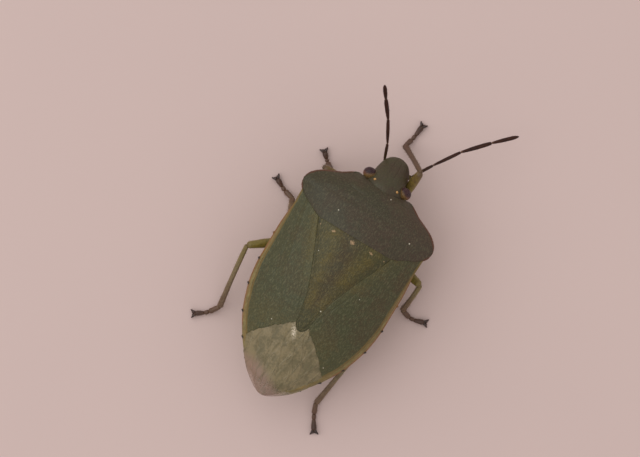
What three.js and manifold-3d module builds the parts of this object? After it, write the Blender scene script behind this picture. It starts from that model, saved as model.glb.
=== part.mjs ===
// A green shield bug, modelled at life size for display, walking with one feeler raised.
// Millimetres. X is the bug's right, Y points forwards, Z is up from the floor.
// Heights and widths along the body are read at a distance y from the line of the shoulders.

import * as THREE from 'three';
import { mergeVertices } from 'three/addons/utils/BufferGeometryUtils.js';
import Module from 'manifold-3d';

const wasm = await Module();
wasm.setup();

// Driving sizes
const GAP = 0.2; // clear space between two neighbouring parts
const SHELL = 0.5; // thickness of the shield plates and wings
const CLOSE = 0.02; // shortest side of a face that a cut or join may leave
const FLAT = 0.006; // least height of such a face
const LIMB = 0.25; // least radius of a leg or feeler away from its tip
const CROWN = 2.1; // how flat the back is across: 2 is a parabola
const BELLY = 2.2; // the same for the underside
const VEIN_RISE = 0.12; // height of a wing vein over the membrane
const TOOTH = 0.07; // how far the rear corner of a belly segment stands out
const CREASE = 0.09; // depth of the fold between two belly segments
const BRIM = { width: 0.36, depth: 0.2, front: -3.2, rear: -9.5 }; // the abdomen's rim, raised beside the wings

// Half width of the body at each y, from the front corners of the pronotum to the wing tips
const WIDTH = smooth([
  [1.65, 1.57], [1.2, 2.45], [0.68, 3.55], [0.2, 4.0], [-0.15, 4.1], [-0.6, 3.98],
  [-3.5, 3.95], [-5.2, 3.94], [-6.3, 3.82], [-7.3, 3.55], [-8.15, 3.22], [-9.4, 2.48],
  [-10.3, 1.78], [-10.9, 1.25], [-11.4, 0.6], [-11.6, 0.2],
]);
// Height of the back along the middle, of its side edges, and of the underside
const BACK = smooth([[1.65, 4.2], [0.7, 4.85], [-0.1, 5.22], [-1.9, 5.62], [-3.2, 5.62],
  [-5.2, 5.38], [-7.2, 4.95], [-9.2, 4.35], [-10.6, 3.95], [-11.6, 3.7]]);
const EDGE = smooth([[1.65, 3.5], [0.7, 3.85], [-0.1, 4.1], [-1, 3.9], [-2.5, 3.68],
  [-7.2, 3.5], [-11.6, 3.3]]);
const KEEL = smooth([[1.35, 1.95], [0.6, 1.6], [-0.5, 1.45], [-2.5, 1.4], [-4.5, 1.25],
  [-6.5, 1.3], [-8.5, 1.6], [-10, 1.9], [-10.85, 2.15]]);

// Pronotum: front and rear edge at a distance x from the middle
const PRONOTUM_HALF = 4.1;
const PRONOTUM_FRONT = smooth([[0, 1.42], [0.9, 1.5], [1.56, 1.66], [2.5, 1.19], [3.5, 0.71],
  [3.9, 0.36], [4.05, 0.1], [4.1, -0.12]]);
const PRONOTUM_REAR = smooth([[0, -1.62], [2.2, -1.6], [3, -1.27], [3.7, -0.88], [3.98, -0.6],
  [4.08, -0.35], [4.1, -0.12]]);

// Scutellum, the long tongue between the wings
const SCUTELLUM_BASE = -1.83;
const SCUTELLUM_TIP = -7.52;
const SCUTELLUM_HALF = smooth([[-1.8, 2.25], [-4.3, 1.15], [-5.4, 0.74], [-6.4, 0.52],
  [-7.1, 0.38], [-7.4, 0.2], [-7.52, 0]]);

// Corium, the leathery front of each fore wing: inner front, outer front, outer rear, inner rear
const CORIUM_FRONT_IN = -1.86;
const CORIUM_FRONT_OUT = -1.0;
const CORIUM_REAR_IN = -7.12;
const CORIUM_REAR_OUT = -9.08;
const BORDER = smooth([[-1, 0.12], [-5.1, 0.2], [-6.2, 0.25], [-9.1, 0.27]]);
const COSTA = 0.4; // thickness left at the outer edge of the corium, as a share of SHELL
const COSTA_WIDTH = 0.5;

// Membrane, the clear rear of each fore wing: its root along the corium and its free margin
const MEMBRANE_ROOT_IN = [0.08, -7.7];
const MEMBRANE_ROOT_OUT = [2.1, -9.28];
const MEMBRANE_MARGIN = [[-1.15, -9.1], [-1.2, -10.4], [-0.55, -11.3], [0.2, -11.55],
  [1.2, -10.92], [1.9, -10.1]];
const VEINS = 6;

// Abdomen and thorax
const ABDOMEN_FRONT = -2.95;
const ABDOMEN_TIP = -10.85;
const SEGMENT_ENDS = [-3.6, -5.2, -6.68, -8.15, -9.4, -10.35];
const THORAX_FRONT = 1.35;
const THORAX_REAR = -2.75;
const THORAX_INSET = 0.12;
const THINNEST = 0.5; // least depth of the trunk inside its edges

// Head, at each y from its neck to its rounded front
const HEAD_REAR = 1.62;
const HEAD_TIP = 3.5;
const HEAD_HALF = smooth([[1.62, 0.98], [2.3, 0.98], [2.7, 0.9], [3, 0.8], [3.25, 0.62],
  [3.42, 0.38], [3.5, 0.12]]);
const HEAD_TOP = smooth([[1.62, 4.12], [2.1, 3.95], [2.6, 3.6], [3.1, 3.1], [3.4, 2.78], [3.5, 2.62]]);
const HEAD_UNDER = smooth([[1.62, 2.2], [2.4, 2.15], [3, 2.2], [3.4, 2.35], [3.5, 2.5]]);
const EYE = { x: 1.18, y: 1.92, z: 3.3, across: 0.3, along: 0.32, high: 0.34 };
const OCELLUS = { x: 0.7, y: 1.76, r: 0.09 };
const ROSTRUM = [[0, 2.85, 2.0], [0, 2.3, 1.62], [0, 1.2, 1.12], [0, -1.6, 1.0]];

// Feelers: the joints between their five segments
const FEELER_JOINTS = {
  left: [[-0.6, 2.4, 2.35], [-0.76, 2.9, 2.45], [-1.11, 3.8, 3.2], [-1.77, 4.92, 4.35],
    [-2.43, 5.72, 5.6], [-2.88, 6.28, 6.75]],
  right: [[0.53, 2.52, 2.18], [0.98, 2.96, 1.78], [1.68, 4.12, 1.95], [2.61, 5.52, 2.45],
    [3.81, 6.83, 2.4], [4.92, 7.93, 2.3]],
};

// Legs: hip, end of the trochanter, knee, ankle, the joint in the foot, and its end
const LEGS = {
  front_left: [[-1.0, 0.7, 1.35], [-1.3, 0.72, 1.0], [-3.2, 0.84, 2.6], [-3.13, 1.1, 0.5],
    [-3.5, 1.35, 0.22], [-3.88, 1.72, 0.2]],
  front_right: [[1.0, 0.7, 1.35], [1.05, 0.95, 1.02], [1.27, 3.38, 3.4], [-0.18, 4.32, 0.45],
    [0.0, 4.95, 0.22], [0.08, 5.76, 0.2]],
  middle_left: [[-1.1, -1.2, 1.3], [-1.45, -1.3, 0.98], [-3.45, -2.9, 2.25], [-4.08, -1.45, 0.5],
    [-4.78, -1.26, 0.22], [-5.38, -0.94, 0.2]],
  middle_right: [[1.1, -1.2, 1.3], [1.45, -1.25, 0.98], [4.48, -1.95, 2.45], [4.42, -3.64, 0.5],
    [5.1, -3.85, 0.22], [5.85, -3.62, 0.2]],
  hind_left: [[-1.15, -2.2, 1.25], [-1.5, -2.45, 0.98], [-4.87, -4.95, 2.95], [-4.45, -8.75, 0.5],
    [-4.9, -9.42, 0.22], [-5.46, -9.8, 0.2]],
  hind_right: [[1.15, -2.2, 1.25], [1.4, -2.55, 0.98], [3.45, -6.6, 2.0], [2.95, -10.6, 0.5],
    [3.22, -11.3, 0.22], [3.66, -12.0, 0.2]],
};
const HIP = 0.34;
const THIGH = 0.29;
const CLAW = { length: 0.36, spread: 0.62, root: 0.17, tip: 0.05 };

// Finishes
const FINISH = {
  shield: { color: 0x4a4a38, roughness: 0.42, metalness: 0 },
  corium: { color: 0x4e543c, roughness: 0.45, metalness: 0 },
  membrane: { color: 0x7c7053, roughness: 0.3, metalness: 0 },
  belly: { color: 0x86803f, roughness: 0.5, metalness: 0 },
  eye: { color: 0x3a2428, roughness: 0.25, metalness: 0 },
  leg: { color: 0x6e6428, roughness: 0.45, metalness: 0 },
  feeler: { color: 0x2a1d18, roughness: 0.5, metalness: 0 },
};

// A smooth curve through [place, value] pairs that never swings past them
function smooth(pairs) {
  const sorted = [...pairs].sort((a, b) => a[0] - b[0]);
  const slopes = sorted.slice(1).map((p, i) => (p[1] - sorted[i][1]) / (p[0] - sorted[i][0]));
  const bend = (a, b) => (a * b > 0 ? (2 * a * b) / (a + b) : 0);
  const tangents = sorted.map((_, i) => {
    if (i === 0) return slopes[0];
    if (i === slopes.length) return slopes[i - 1];
    return bend(slopes[i - 1], slopes[i]);
  });
  return (place) => {
    const last = sorted.length - 1;
    const at = Math.min(Math.max(place, sorted[0][0]), sorted[last][0]);
    let i = 0;
    while (i < last - 1 && at > sorted[i + 1][0]) i += 1;
    const step = sorted[i + 1][0] - sorted[i][0];
    const t = (at - sorted[i][0]) / step;
    const rest = 1 - t;
    return sorted[i][1] * (1 + 2 * t) * rest * rest + sorted[i + 1][1] * t * t * (3 - 2 * t)
      + step * (tangents[i] * t * rest * rest - tangents[i + 1] * t * t * rest);
  };
}

const mix = (a, b, t) => a + (b - a) * t;
const fade = (t) => THREE.MathUtils.smoothstep(t, 0, 1);

// Height of the back at (x, y)
function back(x, y) {
  const out = Math.min(Math.abs(x) / WIDTH(y), 1);
  return mix(BACK(y), EDGE(y), out ** CROWN);
}

// How much deeper than flat a layer of the back is, measured straight down, where the back slopes
function slant(x, y) {
  const d = 0.02;
  const dx = (back(x + d, y) - back(x - d, y)) / (2 * d);
  const dy = (back(x, y + d) - back(x, y - d)) / (2 * d);
  return Math.min(Math.hypot(1, dx, dy), mix(1.4, 1.12, fade((-9 - y) / 1.2)));
}

// Closed solid from points and triangles: doubled points are joined and empty triangles dropped
function solid(points, triangles) {
  const geometry = new THREE.BufferGeometry();
  geometry.setAttribute('position', new THREE.Float32BufferAttribute(points.flat(), 3));
  geometry.setIndex(triangles.flat());
  return toSolid(geometry);
}

function toSolid(geometry) {
  const bare = geometry.clone();
  bare.deleteAttribute('normal');
  bare.deleteAttribute('uv');
  const merged = mergeVertices(bare, 1e-4);
  const index = Array.from(merged.index.array);
  const kept = [];
  for (let i = 0; i < index.length; i += 3) {
    const [a, b, c] = index.slice(i, i + 3);
    if (a !== b && b !== c && c !== a) kept.push(a, b, c);
  }
  return new wasm.Manifold(new wasm.Mesh({
    numProp: 3,
    vertProperties: new Float32Array(merged.attributes.position.array),
    triVerts: new Uint32Array(kept),
  }));
}

// The largest closed surface of a solid
function largest(shape) {
  const pieces = shape.decompose();
  return pieces.reduce((best, piece) => (piece.volume() > best.volume() ? piece : best));
}

// A plate: the same grid above and below, with walls round it. place(s, t) gives its upper [x, y, z]
// and depth(x, y) its thickness straight down; s runs to the plate's left where t runs to its rear.
function plate(across, along, place, depth) {
  const upper = [];
  for (let j = 0; j <= along; j += 1) {
    for (let i = 0; i <= across; i += 1) upper.push(place(i / across, j / along));
  }
  const lower = upper.map(([x, y, z, rise = 0]) => [x, y, z - rise - depth(x, y)]);
  const points = [...upper.map((p) => p.slice(0, 3)), ...lower];
  const n = upper.length;
  const at = (i, j) => j * (across + 1) + i;
  const faces = [];
  for (let j = 0; j < along; j += 1) {
    for (let i = 0; i < across; i += 1) {
      const [a, b, c, d] = [at(i, j), at(i + 1, j), at(i + 1, j + 1), at(i, j + 1)];
      faces.push([a, b, c], [a, c, d], [n + a, n + c, n + b], [n + a, n + d, n + c]);
    }
  }
  const rim = [];
  for (let i = 0; i < across; i += 1) rim.push(at(i, 0));
  for (let j = 0; j < along; j += 1) rim.push(at(across, j));
  for (let i = across; i > 0; i -= 1) rim.push(at(i, along));
  for (let j = along; j > 0; j -= 1) rim.push(at(0, j));
  rim.forEach((a, k) => {
    const b = rim[(k + 1) % rim.length];
    faces.push([a, n + b, b], [a, n + a, n + b]);
  });
  return facingOut(points, faces);
}

// Rings of points, each closed, joined into a solid with a point in the middle of each end
function loft(rings) {
  const count = rings[0].length;
  const points = rings.flat();
  const middle = (ring) => [0, 1, 2].map((k) => ring.reduce((sum, p) => sum + p[k], 0) / count);
  points.push(middle(rings[0]), middle(rings[rings.length - 1]));
  const faces = [];
  const lastRing = (rings.length - 1) * count;
  for (let i = 0; i < count; i += 1) {
    const next = (i + 1) % count;
    for (let j = 0; j < rings.length - 1; j += 1) {
      const [a, b, c, d] = [j * count + i, j * count + next, (j + 1) * count + next, (j + 1) * count + i];
      faces.push([a, b, c], [a, c, d]);
    }
    faces.push([points.length - 2, next, i], [points.length - 1, lastRing + i, lastRing + next]);
  }
  return facingOut(points, faces);
}

// The solid of these faces, turned inside out if they point inwards
function facingOut(points, faces) {
  let volume = 0;
  const corner = (k) => new THREE.Vector3(...points[k]);
  faces.forEach(([a, b, c]) => {
    volume += corner(a).dot(corner(b).cross(corner(c)));
  });
  return solid(points, volume > 0 ? faces : faces.map(([a, b, c]) => [a, c, b]));
}

// A round rod along a bent line, with a radius at each point
function rod(line, radii, sides = 8) {
  const points = line.map((p) => new THREE.Vector3(...p));
  const rings = points.map((p, i) => {
    const before = points[Math.max(i - 1, 0)];
    const after = points[Math.min(i + 1, points.length - 1)];
    const heading = after.clone().sub(p).normalize().add(p.clone().sub(before).normalize()).normalize();
    const up = Math.abs(heading.z) > 0.9 ? new THREE.Vector3(1, 0, 0) : new THREE.Vector3(0, 0, 1);
    const side = heading.clone().cross(up).normalize();
    const top = side.clone().cross(heading);
    return Array.from({ length: sides }, (_, k) => {
      const turn = ((k + 0.5) / sides) * 2 * Math.PI;
      return p.clone().addScaledVector(side, radii[i] * Math.cos(turn))
        .addScaledVector(top, radii[i] * Math.sin(turn)).toArray();
    });
  });
  return loft(rings);
}

// Points and radii along one limb segment that swells between its joints
function segment(from, to, thin, thick, steps = 4) {
  const places = Array.from({ length: steps + 1 }, (_, k) => k / steps);
  return {
    line: places.map((t) => from.map((v, k) => mix(v, to[k], t))),
    radii: places.map((t) => mix(thin, thick, Math.sin(Math.PI * Math.min(Math.max(t, 0.12), 0.88)) ** 0.5)),
  };
}

function ball(center, size, grow = 0, detail = 10) {
  const sphere = new THREE.SphereGeometry(1, detail + 2, detail - 2);
  sphere.scale(size[0] + grow, size[1] + grow, size[2] + grow);
  sphere.translate(...center);
  return toSolid(sphere);
}

// Pronotum, wider than long, with a rounded shoulder at each side
function pronotum() {
  const place = (s, t) => {
    const x = PRONOTUM_HALF * Math.sin((0.5 - s) * Math.PI);
    const y = mix(PRONOTUM_FRONT(Math.abs(x)), PRONOTUM_REAR(Math.abs(x)), t);
    return [x, y, back(x, y)];
  };
  return plate(28, 8, place, (x, y) => SHELL * slant(x, y));
}

function scutellum() {
  const place = (s, t) => {
    const y = mix(SCUTELLUM_BASE, SCUTELLUM_TIP, Math.sin((t * Math.PI) / 2));
    const x = SCUTELLUM_HALF(y) * (1 - 2 * s);
    return [x, y, back(x, y)];
  };
  return plate(10, 14, place, (x, y) => SHELL * slant(x, y));
}

function corium(side) {
  const place = (s, t) => {
    const inY = mix(CORIUM_FRONT_IN, CORIUM_REAR_IN, t);
    const outY = mix(CORIUM_FRONT_OUT, CORIUM_REAR_OUT, t);
    const inX = SCUTELLUM_HALF(inY) + GAP;
    const outX = WIDTH(outY) - BORDER(outY);
    const x = mix(inX, outX, s);
    const y = mix(inY, outY, s);
    return [side * x, y, back(x, y)];
  };
  const thinned = (x, y) => fade((Math.abs(x) - WIDTH(y) + BORDER(y) + COSTA_WIDTH) / COSTA_WIDTH);
  return plate(10, 16, place, (x, y) => SHELL * slant(x, y) * mix(1, COSTA, thinned(x, y)));
}

// Thickness of a membrane, drawn out thinner towards its free margin
function film(y) {
  return SHELL * mix(1, 0.55, fade((-9.6 - y) / 1.6));
}

// The left membrane lies on the right one, which dips under it
function membrane(side) {
  const margin = new THREE.SplineCurve(MEMBRANE_MARGIN.map((p) => new THREE.Vector2(...p)));
  const dip = (x, y) => (side > 0 ? (film(y) + GAP * 1.35) * slant(x, y) : 0);
  const place = (s, t) => {
    const end = margin.getPoint(s);
    const x = mix(mix(MEMBRANE_ROOT_IN[0], MEMBRANE_ROOT_OUT[0], s), end.x, t);
    const y = mix(mix(MEMBRANE_ROOT_IN[1], MEMBRANE_ROOT_OUT[1], s), end.y, t);
    const crest = Math.max(0, Math.cos(s * VEINS * 2 * Math.PI + Math.PI)) ** 2;
    const rise = VEIN_RISE * crest * fade((1 - t) * 4);
    return [side * x, y, back(x, y) + rise - dip(x, y), rise];
  };
  return plate(VEINS * 4, 8, place, (x, y) => film(y) * slant(x, y));
}

// Half width of the abdomen, with a small tooth at the rear corner of each segment
function abdomenHalf(y) {
  const tooth = SEGMENT_ENDS.some((end) => Math.abs(end - y) < 1e-6) ? TOOTH : 0;
  return WIDTH(y) + tooth;
}

// A ring round the trunk: its top lies under the back by depth(x, y), and rises by raise at its rim;
// its bottom is the belly, folded up by crease
function trunkRing(y, half, depth, raise = 0, crease = 0) {
  const count = 28;
  return Array.from({ length: count }, (_, k) => {
    const turn = (k / count) * 2 * Math.PI;
    const x = half * Math.cos(turn);
    const out = Math.abs(x) / half;
    const rim = raise * (depth(half, y) - BRIM.depth);
    const edge = back(half, y) - depth(half, y) + rim;
    const top = back(x, y) - depth(x, y) + rim * fade((Math.abs(x) - half + BRIM.width) / BRIM.width);
    const high = mix(top, edge, out ** 24);
    const low = Math.min(mix(KEEL(y) + crease, edge, out ** BELLY), high - THINNEST * (1 - out ** 4));
    return [x, y, Math.sin(turn) > 1e-9 ? high : low];
  });
}

function abdomen() {
  const under = (x, y) => {
    const doubled = fade((-7.1 - y) / 0.3) * Math.max(fade((2.5 - Math.abs(x)) / 0.25), fade((-9 - y) / 0.3));
    return (film(y) + GAP * 1.1) * slant(x, y) + (film(y) + GAP * 1.8) * slant(x, y) * doubled;
  };
  const places = [ABDOMEN_FRONT];
  SEGMENT_ENDS.forEach((end) => {
    const before = places[places.length - 1];
    places.push(mix(before, end, 0.5), end + 0.12, end, end - 0.1);
  });
  places.push(ABDOMEN_TIP + 0.15, ABDOMEN_TIP);
  const raise = (y) => fade(BRIM.front - y) * fade((y - BRIM.rear) / 0.3);
  const crease = (y) => (SEGMENT_ENDS.includes(y) ? CREASE : 0);
  return loft(places.map((y) => trunkRing(y, abdomenHalf(y), under, raise(y), crease(y))));
}

function thorax() {
  const under = (x, y) => (SHELL + GAP * 1.2) * slant(x, y);
  const places = Array.from({ length: 10 }, (_, k) => mix(THORAX_FRONT, THORAX_REAR, k / 9));
  return loft(places.map((y) => trunkRing(y, WIDTH(y) - THORAX_INSET, under)));
}

function head(grow = 0) {
  const count = 20;
  const steps = 12;
  const rings = Array.from({ length: steps + 1 }, (_, j) => {
    const y = mix(HEAD_REAR, HEAD_TIP, Math.sin((j / steps) * Math.PI * 0.5));
    const half = HEAD_HALF(y) + grow;
    const top = HEAD_TOP(y) + grow;
    const low = HEAD_UNDER(y) - grow;
    const waist = mix(low, top, 0.42);
    return Array.from({ length: count }, (_v, k) => {
      const turn = (k / count) * 2 * Math.PI;
      const up = Math.sin(turn);
      return [half * Math.cos(turn), y, waist + up * (up > 0 ? top - waist : waist - low)];
    });
  });
  if (grow > 0) {
    rings[0] = rings[0].map(([x, y, z]) => [x, y - grow, z]);
    rings[steps] = rings[steps].map(([x, y, z]) => [x, y + grow, z]);
  }
  return loft(rings);
}

function eye(side, grow = 0) {
  return ball([side * EYE.x, EYE.y, EYE.z], [EYE.across, EYE.along, EYE.high], grow, 12);
}

function ocellus(side) {
  const z = mix(mix(HEAD_UNDER(OCELLUS.y), HEAD_TOP(OCELLUS.y), 0.42), HEAD_TOP(OCELLUS.y), 0.72);
  return ball([side * OCELLUS.x, OCELLUS.y, z], [OCELLUS.r, OCELLUS.r, OCELLUS.r], 0, 6);
}

function rostrum(grow = 0) {
  return rod(drawnBack(ROSTRUM, grow), [LIMB, LIMB, LIMB, 0.14].map((r) => r + grow), 8);
}

// The same line with its first point moved back by a length
function drawnBack(line, length) {
  const first = new THREE.Vector3(...line[0]);
  const away = first.clone().sub(new THREE.Vector3(...line[1])).setLength(length);
  return [first.add(away).toArray(), ...line.slice(1)];
}

// A feeler: five segments, each a little swollen, the last drawn out to a blunt tip
function feeler(joints, grow = 0) {
  const line = [];
  const radii = [];
  for (let i = 0; i < joints.length - 1; i += 1) {
    const part = segment(joints[i], joints[i + 1], LIMB - 0.05, LIMB + 0.02);
    line.push(...part.line.slice(i === 0 ? 0 : 1));
    radii.push(...part.radii.slice(i === 0 ? 0 : 1));
  }
  radii[radii.length - 1] = 0.1;
  return rod(drawnBack(line, grow), radii.map((r) => r + grow), 8);
}

// Two curved claws at the end of a foot
function claws(from, to) {
  const end = new THREE.Vector3(...to);
  const heading = end.clone().sub(new THREE.Vector3(...from)).setZ(0).normalize();
  return [-1, 1].map((hand) => {
    const out = heading.clone().applyAxisAngle(new THREE.Vector3(0, 0, 1), hand * CLAW.spread);
    const root = end.clone().addScaledVector(heading, -0.12).setZ(0.2);
    const bend = root.clone().addScaledVector(out, CLAW.length * 0.6).setZ(0.2);
    const tip = root.clone().addScaledVector(out, CLAW.length).setZ(0.06);
    return rod([root, bend, tip].map((p) => p.toArray()), [CLAW.root, 0.13, CLAW.tip], 6);
  });
}

// A leg: hip ball, trochanter, thigh, shin and a foot of three joints with two claws
function leg(stations, grow = 0) {
  const [hip, turn, knee, ankle, joint, end] = stations;
  const thigh = segment(turn, knee, LIMB, THIGH);
  const pieces = [
    ball(hip, [HIP, HIP, HIP], grow, 8),
    rod([hip, turn], [LIMB + grow, LIMB + grow]),
    ball(turn, [LIMB, LIMB, LIMB], grow + 0.02, 8),
    rod(thigh.line, thigh.radii.map((r) => r + grow)),
    ball(knee, [LIMB, LIMB, LIMB], grow + 0.02, 8),
  ];
  if (grow === 0) {
    const middle = joint.map((v, k) => mix(v, end[k], 0.3));
    pieces.push(
      rod([knee, ankle], [LIMB, LIMB]),
      rod([ankle, joint, middle, end], [LIMB, LIMB, LIMB - 0.03, LIMB]),
      ...claws(joint, end),
    );
  } else {
    pieces.push(rod([knee, ankle], [LIMB + grow, LIMB + grow]));
  }
  return pieces.reduce((sum, piece) => sum.add(piece));
}

const floor = toSolid(new THREE.BoxGeometry(60, 60, 4).translate(0, 0, -2));

const legNames = Object.keys(LEGS);
const sides = { left: -1, right: 1 };
const legSpace = legNames.map((name) => leg(LEGS[name], GAP)).reduce((sum, piece) => sum.add(piece));
const eyeSpace = eye(-1, GAP).add(eye(1, GAP));
const feelerSpace = feeler(FEELER_JOINTS.left, GAP).add(feeler(FEELER_JOINTS.right, GAP));
const rostrumSpace = rostrum(GAP);
const headSpace = head(GAP);

const shapes = {
  head: [head().add(ocellus(-1)).add(ocellus(1)).subtract(eyeSpace).subtract(feelerSpace)
    .subtract(rostrumSpace).subtract(legSpace), 'shield'],
  rostrum: [rostrum(), 'belly'],
  pronotum: [pronotum().subtract(headSpace).subtract(eyeSpace), 'shield'],
  scutellum: [scutellum(), 'shield'],
  thorax: [thorax().subtract(headSpace).subtract(legSpace).subtract(rostrumSpace), 'belly'],
  abdomen: [abdomen().subtract(legSpace), 'belly'],
};
Object.entries(sides).forEach(([side, sign]) => {
  shapes[`eye_${side}`] = [eye(sign), 'eye'];
  shapes[`antenna_${side}`] = [feeler(FEELER_JOINTS[side]), 'feeler'];
  shapes[`corium_${side}`] = [corium(sign), 'corium'];
  shapes[`membrane_${side}`] = [membrane(sign), 'membrane'];
});
legNames.forEach((name) => {
  shapes[`leg_${name}`] = [leg(LEGS[name]).subtract(floor), 'leg'];
});

// Faces that use each side of a face, by the side's two points
function sidesOf(faces) {
  const found = new Map();
  faces.forEach((face, f) => {
    face.forEach((a, k) => {
      const b = face[(k + 1) % 3];
      const key = a < b ? `${a} ${b}` : `${b} ${a}`;
      if (!found.has(key)) found.set(key, []);
      found.get(key).push(f);
    });
  });
  return found;
}

// Height of a face over its longest side
function heightOf(points, [a, b, c]) {
  const [p, q, r] = [points[a], points[b], points[c]];
  const twice = q.clone().sub(p).cross(r.clone().sub(p)).length();
  return twice / Math.max(p.distanceTo(q), q.distanceTo(r), r.distanceTo(p), 1e-12);
}

// Joins the ends of one side, if the surface stays closed and single: the points that neighbour both
// ends have to be just the two that face the side
function joinEnds(points, faces, a, b) {
  const around = (v) => new Set(faces.filter((f) => f.includes(v)).flat());
  const [nearA, nearB] = [around(a), around(b)];
  const shared = [...nearA].filter((v) => v !== a && v !== b && nearB.has(v));
  if (shared.length !== 2) return null;
  points[a].lerp(points[b], 0.5);
  return faces.map((f) => f.map((v) => (v === b ? a : v)))
    .filter(([p, q, r]) => p !== q && q !== r && r !== p);
}

// Swaps the longest side of a flat face for the other diagonal of its two faces
function swapSide(points, faces, sides, f) {
  const face = faces[f];
  const lengths = face.map((a, k) => points[a].distanceTo(points[face[(k + 1) % 3]]));
  const k = lengths.indexOf(Math.max(...lengths));
  const [a, b, c] = [face[k], face[(k + 1) % 3], face[(k + 2) % 3]];
  const pair = sides.get(a < b ? `${a} ${b}` : `${b} ${a}`);
  const other = pair[0] === f ? pair[1] : pair[0];
  const d = faces[other].find((v) => v !== a && v !== b);
  if (sides.has(c < d ? `${c} ${d}` : `${d} ${c}`)) return false;
  const made = [[a, d, c], [d, b, c]];
  if (Math.min(...made.map((m) => heightOf(points, m))) <= heightOf(points, face)) return false;
  [faces[f], faces[other]] = made;
  return true;
}

// Takes out the slivers that cuts and joins leave
function cleaned(points, start) {
  let faces = start;
  for (let pass = 0; pass < 400; pass += 1) {
    const sides = sidesOf(faces);
    const short = [...sides.keys()].map((key) => key.split(' ').map(Number))
      .filter(([a, b]) => points[a].distanceTo(points[b]) < CLOSE);
    let changed = false;
    for (const [a, b] of short) {
      const joined = joinEnds(points, faces, a, b);
      if (joined) {
        faces = joined;
        changed = true;
        break;
      }
    }
    if (!changed) {
      const flat = faces.findIndex((face, f) => heightOf(points, face) < FLAT
        && swapSide(points, faces, sides, f));
      if (flat < 0) break;
    }
  }
  return faces;
}

// One named mesh from a solid
function mesh(name, shape, finish) {
  const { numProp, vertProperties, triVerts } = largest(shape).getMesh();
  const points = [];
  for (let i = 0; i < vertProperties.length; i += numProp) {
    points.push(new THREE.Vector3(vertProperties[i], vertProperties[i + 1], vertProperties[i + 2]));
  }
  const start = [];
  for (let i = 0; i < triVerts.length; i += 3) start.push(Array.from(triVerts.slice(i, i + 3)));
  const faces = cleaned(points, start);
  const geometry = new THREE.BufferGeometry();
  geometry.setAttribute('position', new THREE.Float32BufferAttribute(
    faces.flat().flatMap((v) => points[v].toArray()), 3));
  const welded = mergeVertices(geometry, 1e-5);
  welded.computeVertexNormals();
  const made = new THREE.Mesh(welded, new THREE.MeshStandardMaterial(FINISH[finish]));
  made.name = name;
  return made;
}

const bug = new THREE.Group();
bug.name = 'shield_bug';
Object.entries(shapes).forEach(([name, [shape, finish]]) => bug.add(mesh(name, shape, finish)));

// The bug stands on the floor with the middle of its plan over the origin
const box = new THREE.Box3().setFromObject(bug);
const middle = box.getCenter(new THREE.Vector3());
bug.position.set(-middle.x, -middle.y, -box.min.z);

export default bug;
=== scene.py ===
# A green shield bug at life size, dressed over its solids: pitted shield plates, folded wings,
# faceted eyes, jointed legs and feelers. Sizes are millimetres in the bug's own frame: x is its
# right, y points forwards from the line of its shoulders and z is up from the floor.

import math

import bmesh
import bpy
import numpy as np
from mathutils import Matrix, Vector


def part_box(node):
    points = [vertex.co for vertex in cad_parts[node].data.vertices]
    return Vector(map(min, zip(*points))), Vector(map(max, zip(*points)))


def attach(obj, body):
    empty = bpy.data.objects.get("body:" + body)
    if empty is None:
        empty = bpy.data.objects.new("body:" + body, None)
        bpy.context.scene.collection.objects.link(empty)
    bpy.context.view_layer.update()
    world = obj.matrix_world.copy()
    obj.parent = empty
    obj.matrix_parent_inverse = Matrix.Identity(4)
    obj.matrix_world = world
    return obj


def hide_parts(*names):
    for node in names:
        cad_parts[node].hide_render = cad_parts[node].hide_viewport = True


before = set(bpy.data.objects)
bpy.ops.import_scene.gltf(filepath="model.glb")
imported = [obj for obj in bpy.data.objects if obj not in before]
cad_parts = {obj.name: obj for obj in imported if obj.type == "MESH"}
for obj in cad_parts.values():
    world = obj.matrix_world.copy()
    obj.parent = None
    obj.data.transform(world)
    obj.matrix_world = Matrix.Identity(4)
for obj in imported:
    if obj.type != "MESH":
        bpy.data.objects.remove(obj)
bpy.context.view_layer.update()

MM = 0.001
SAME_PLACE = 1e-8  # points this near each other, in metres, are one


def smooth(pairs):
    """A smooth curve through [place, value] pairs that never swings past them."""
    places, values = np.array(sorted(pairs), float).T
    steps = np.diff(places)
    slopes = np.diff(values) / steps
    before, after = slopes[:-1], slopes[1:]
    rising = before * after > 0
    bends = np.where(rising, 2 * before * after / np.where(rising, before + after, 1), 0)
    tangents = np.concatenate([slopes[:1], bends, slopes[-1:]])

    def curve(place):
        at = np.clip(place, places[0], places[-1])
        i = np.clip(np.searchsorted(places, at, side="right") - 1, 0, len(steps) - 1)
        t = (at - places[i]) / steps[i]
        rest = 1 - t
        ends = values[i] * (1 + 2 * t) * rest**2 + values[i + 1] * t**2 * (3 - 2 * t)
        return ends + steps[i] * (tangents[i] * t * rest**2 - tangents[i + 1] * t**2 * rest)

    return curve


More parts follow.
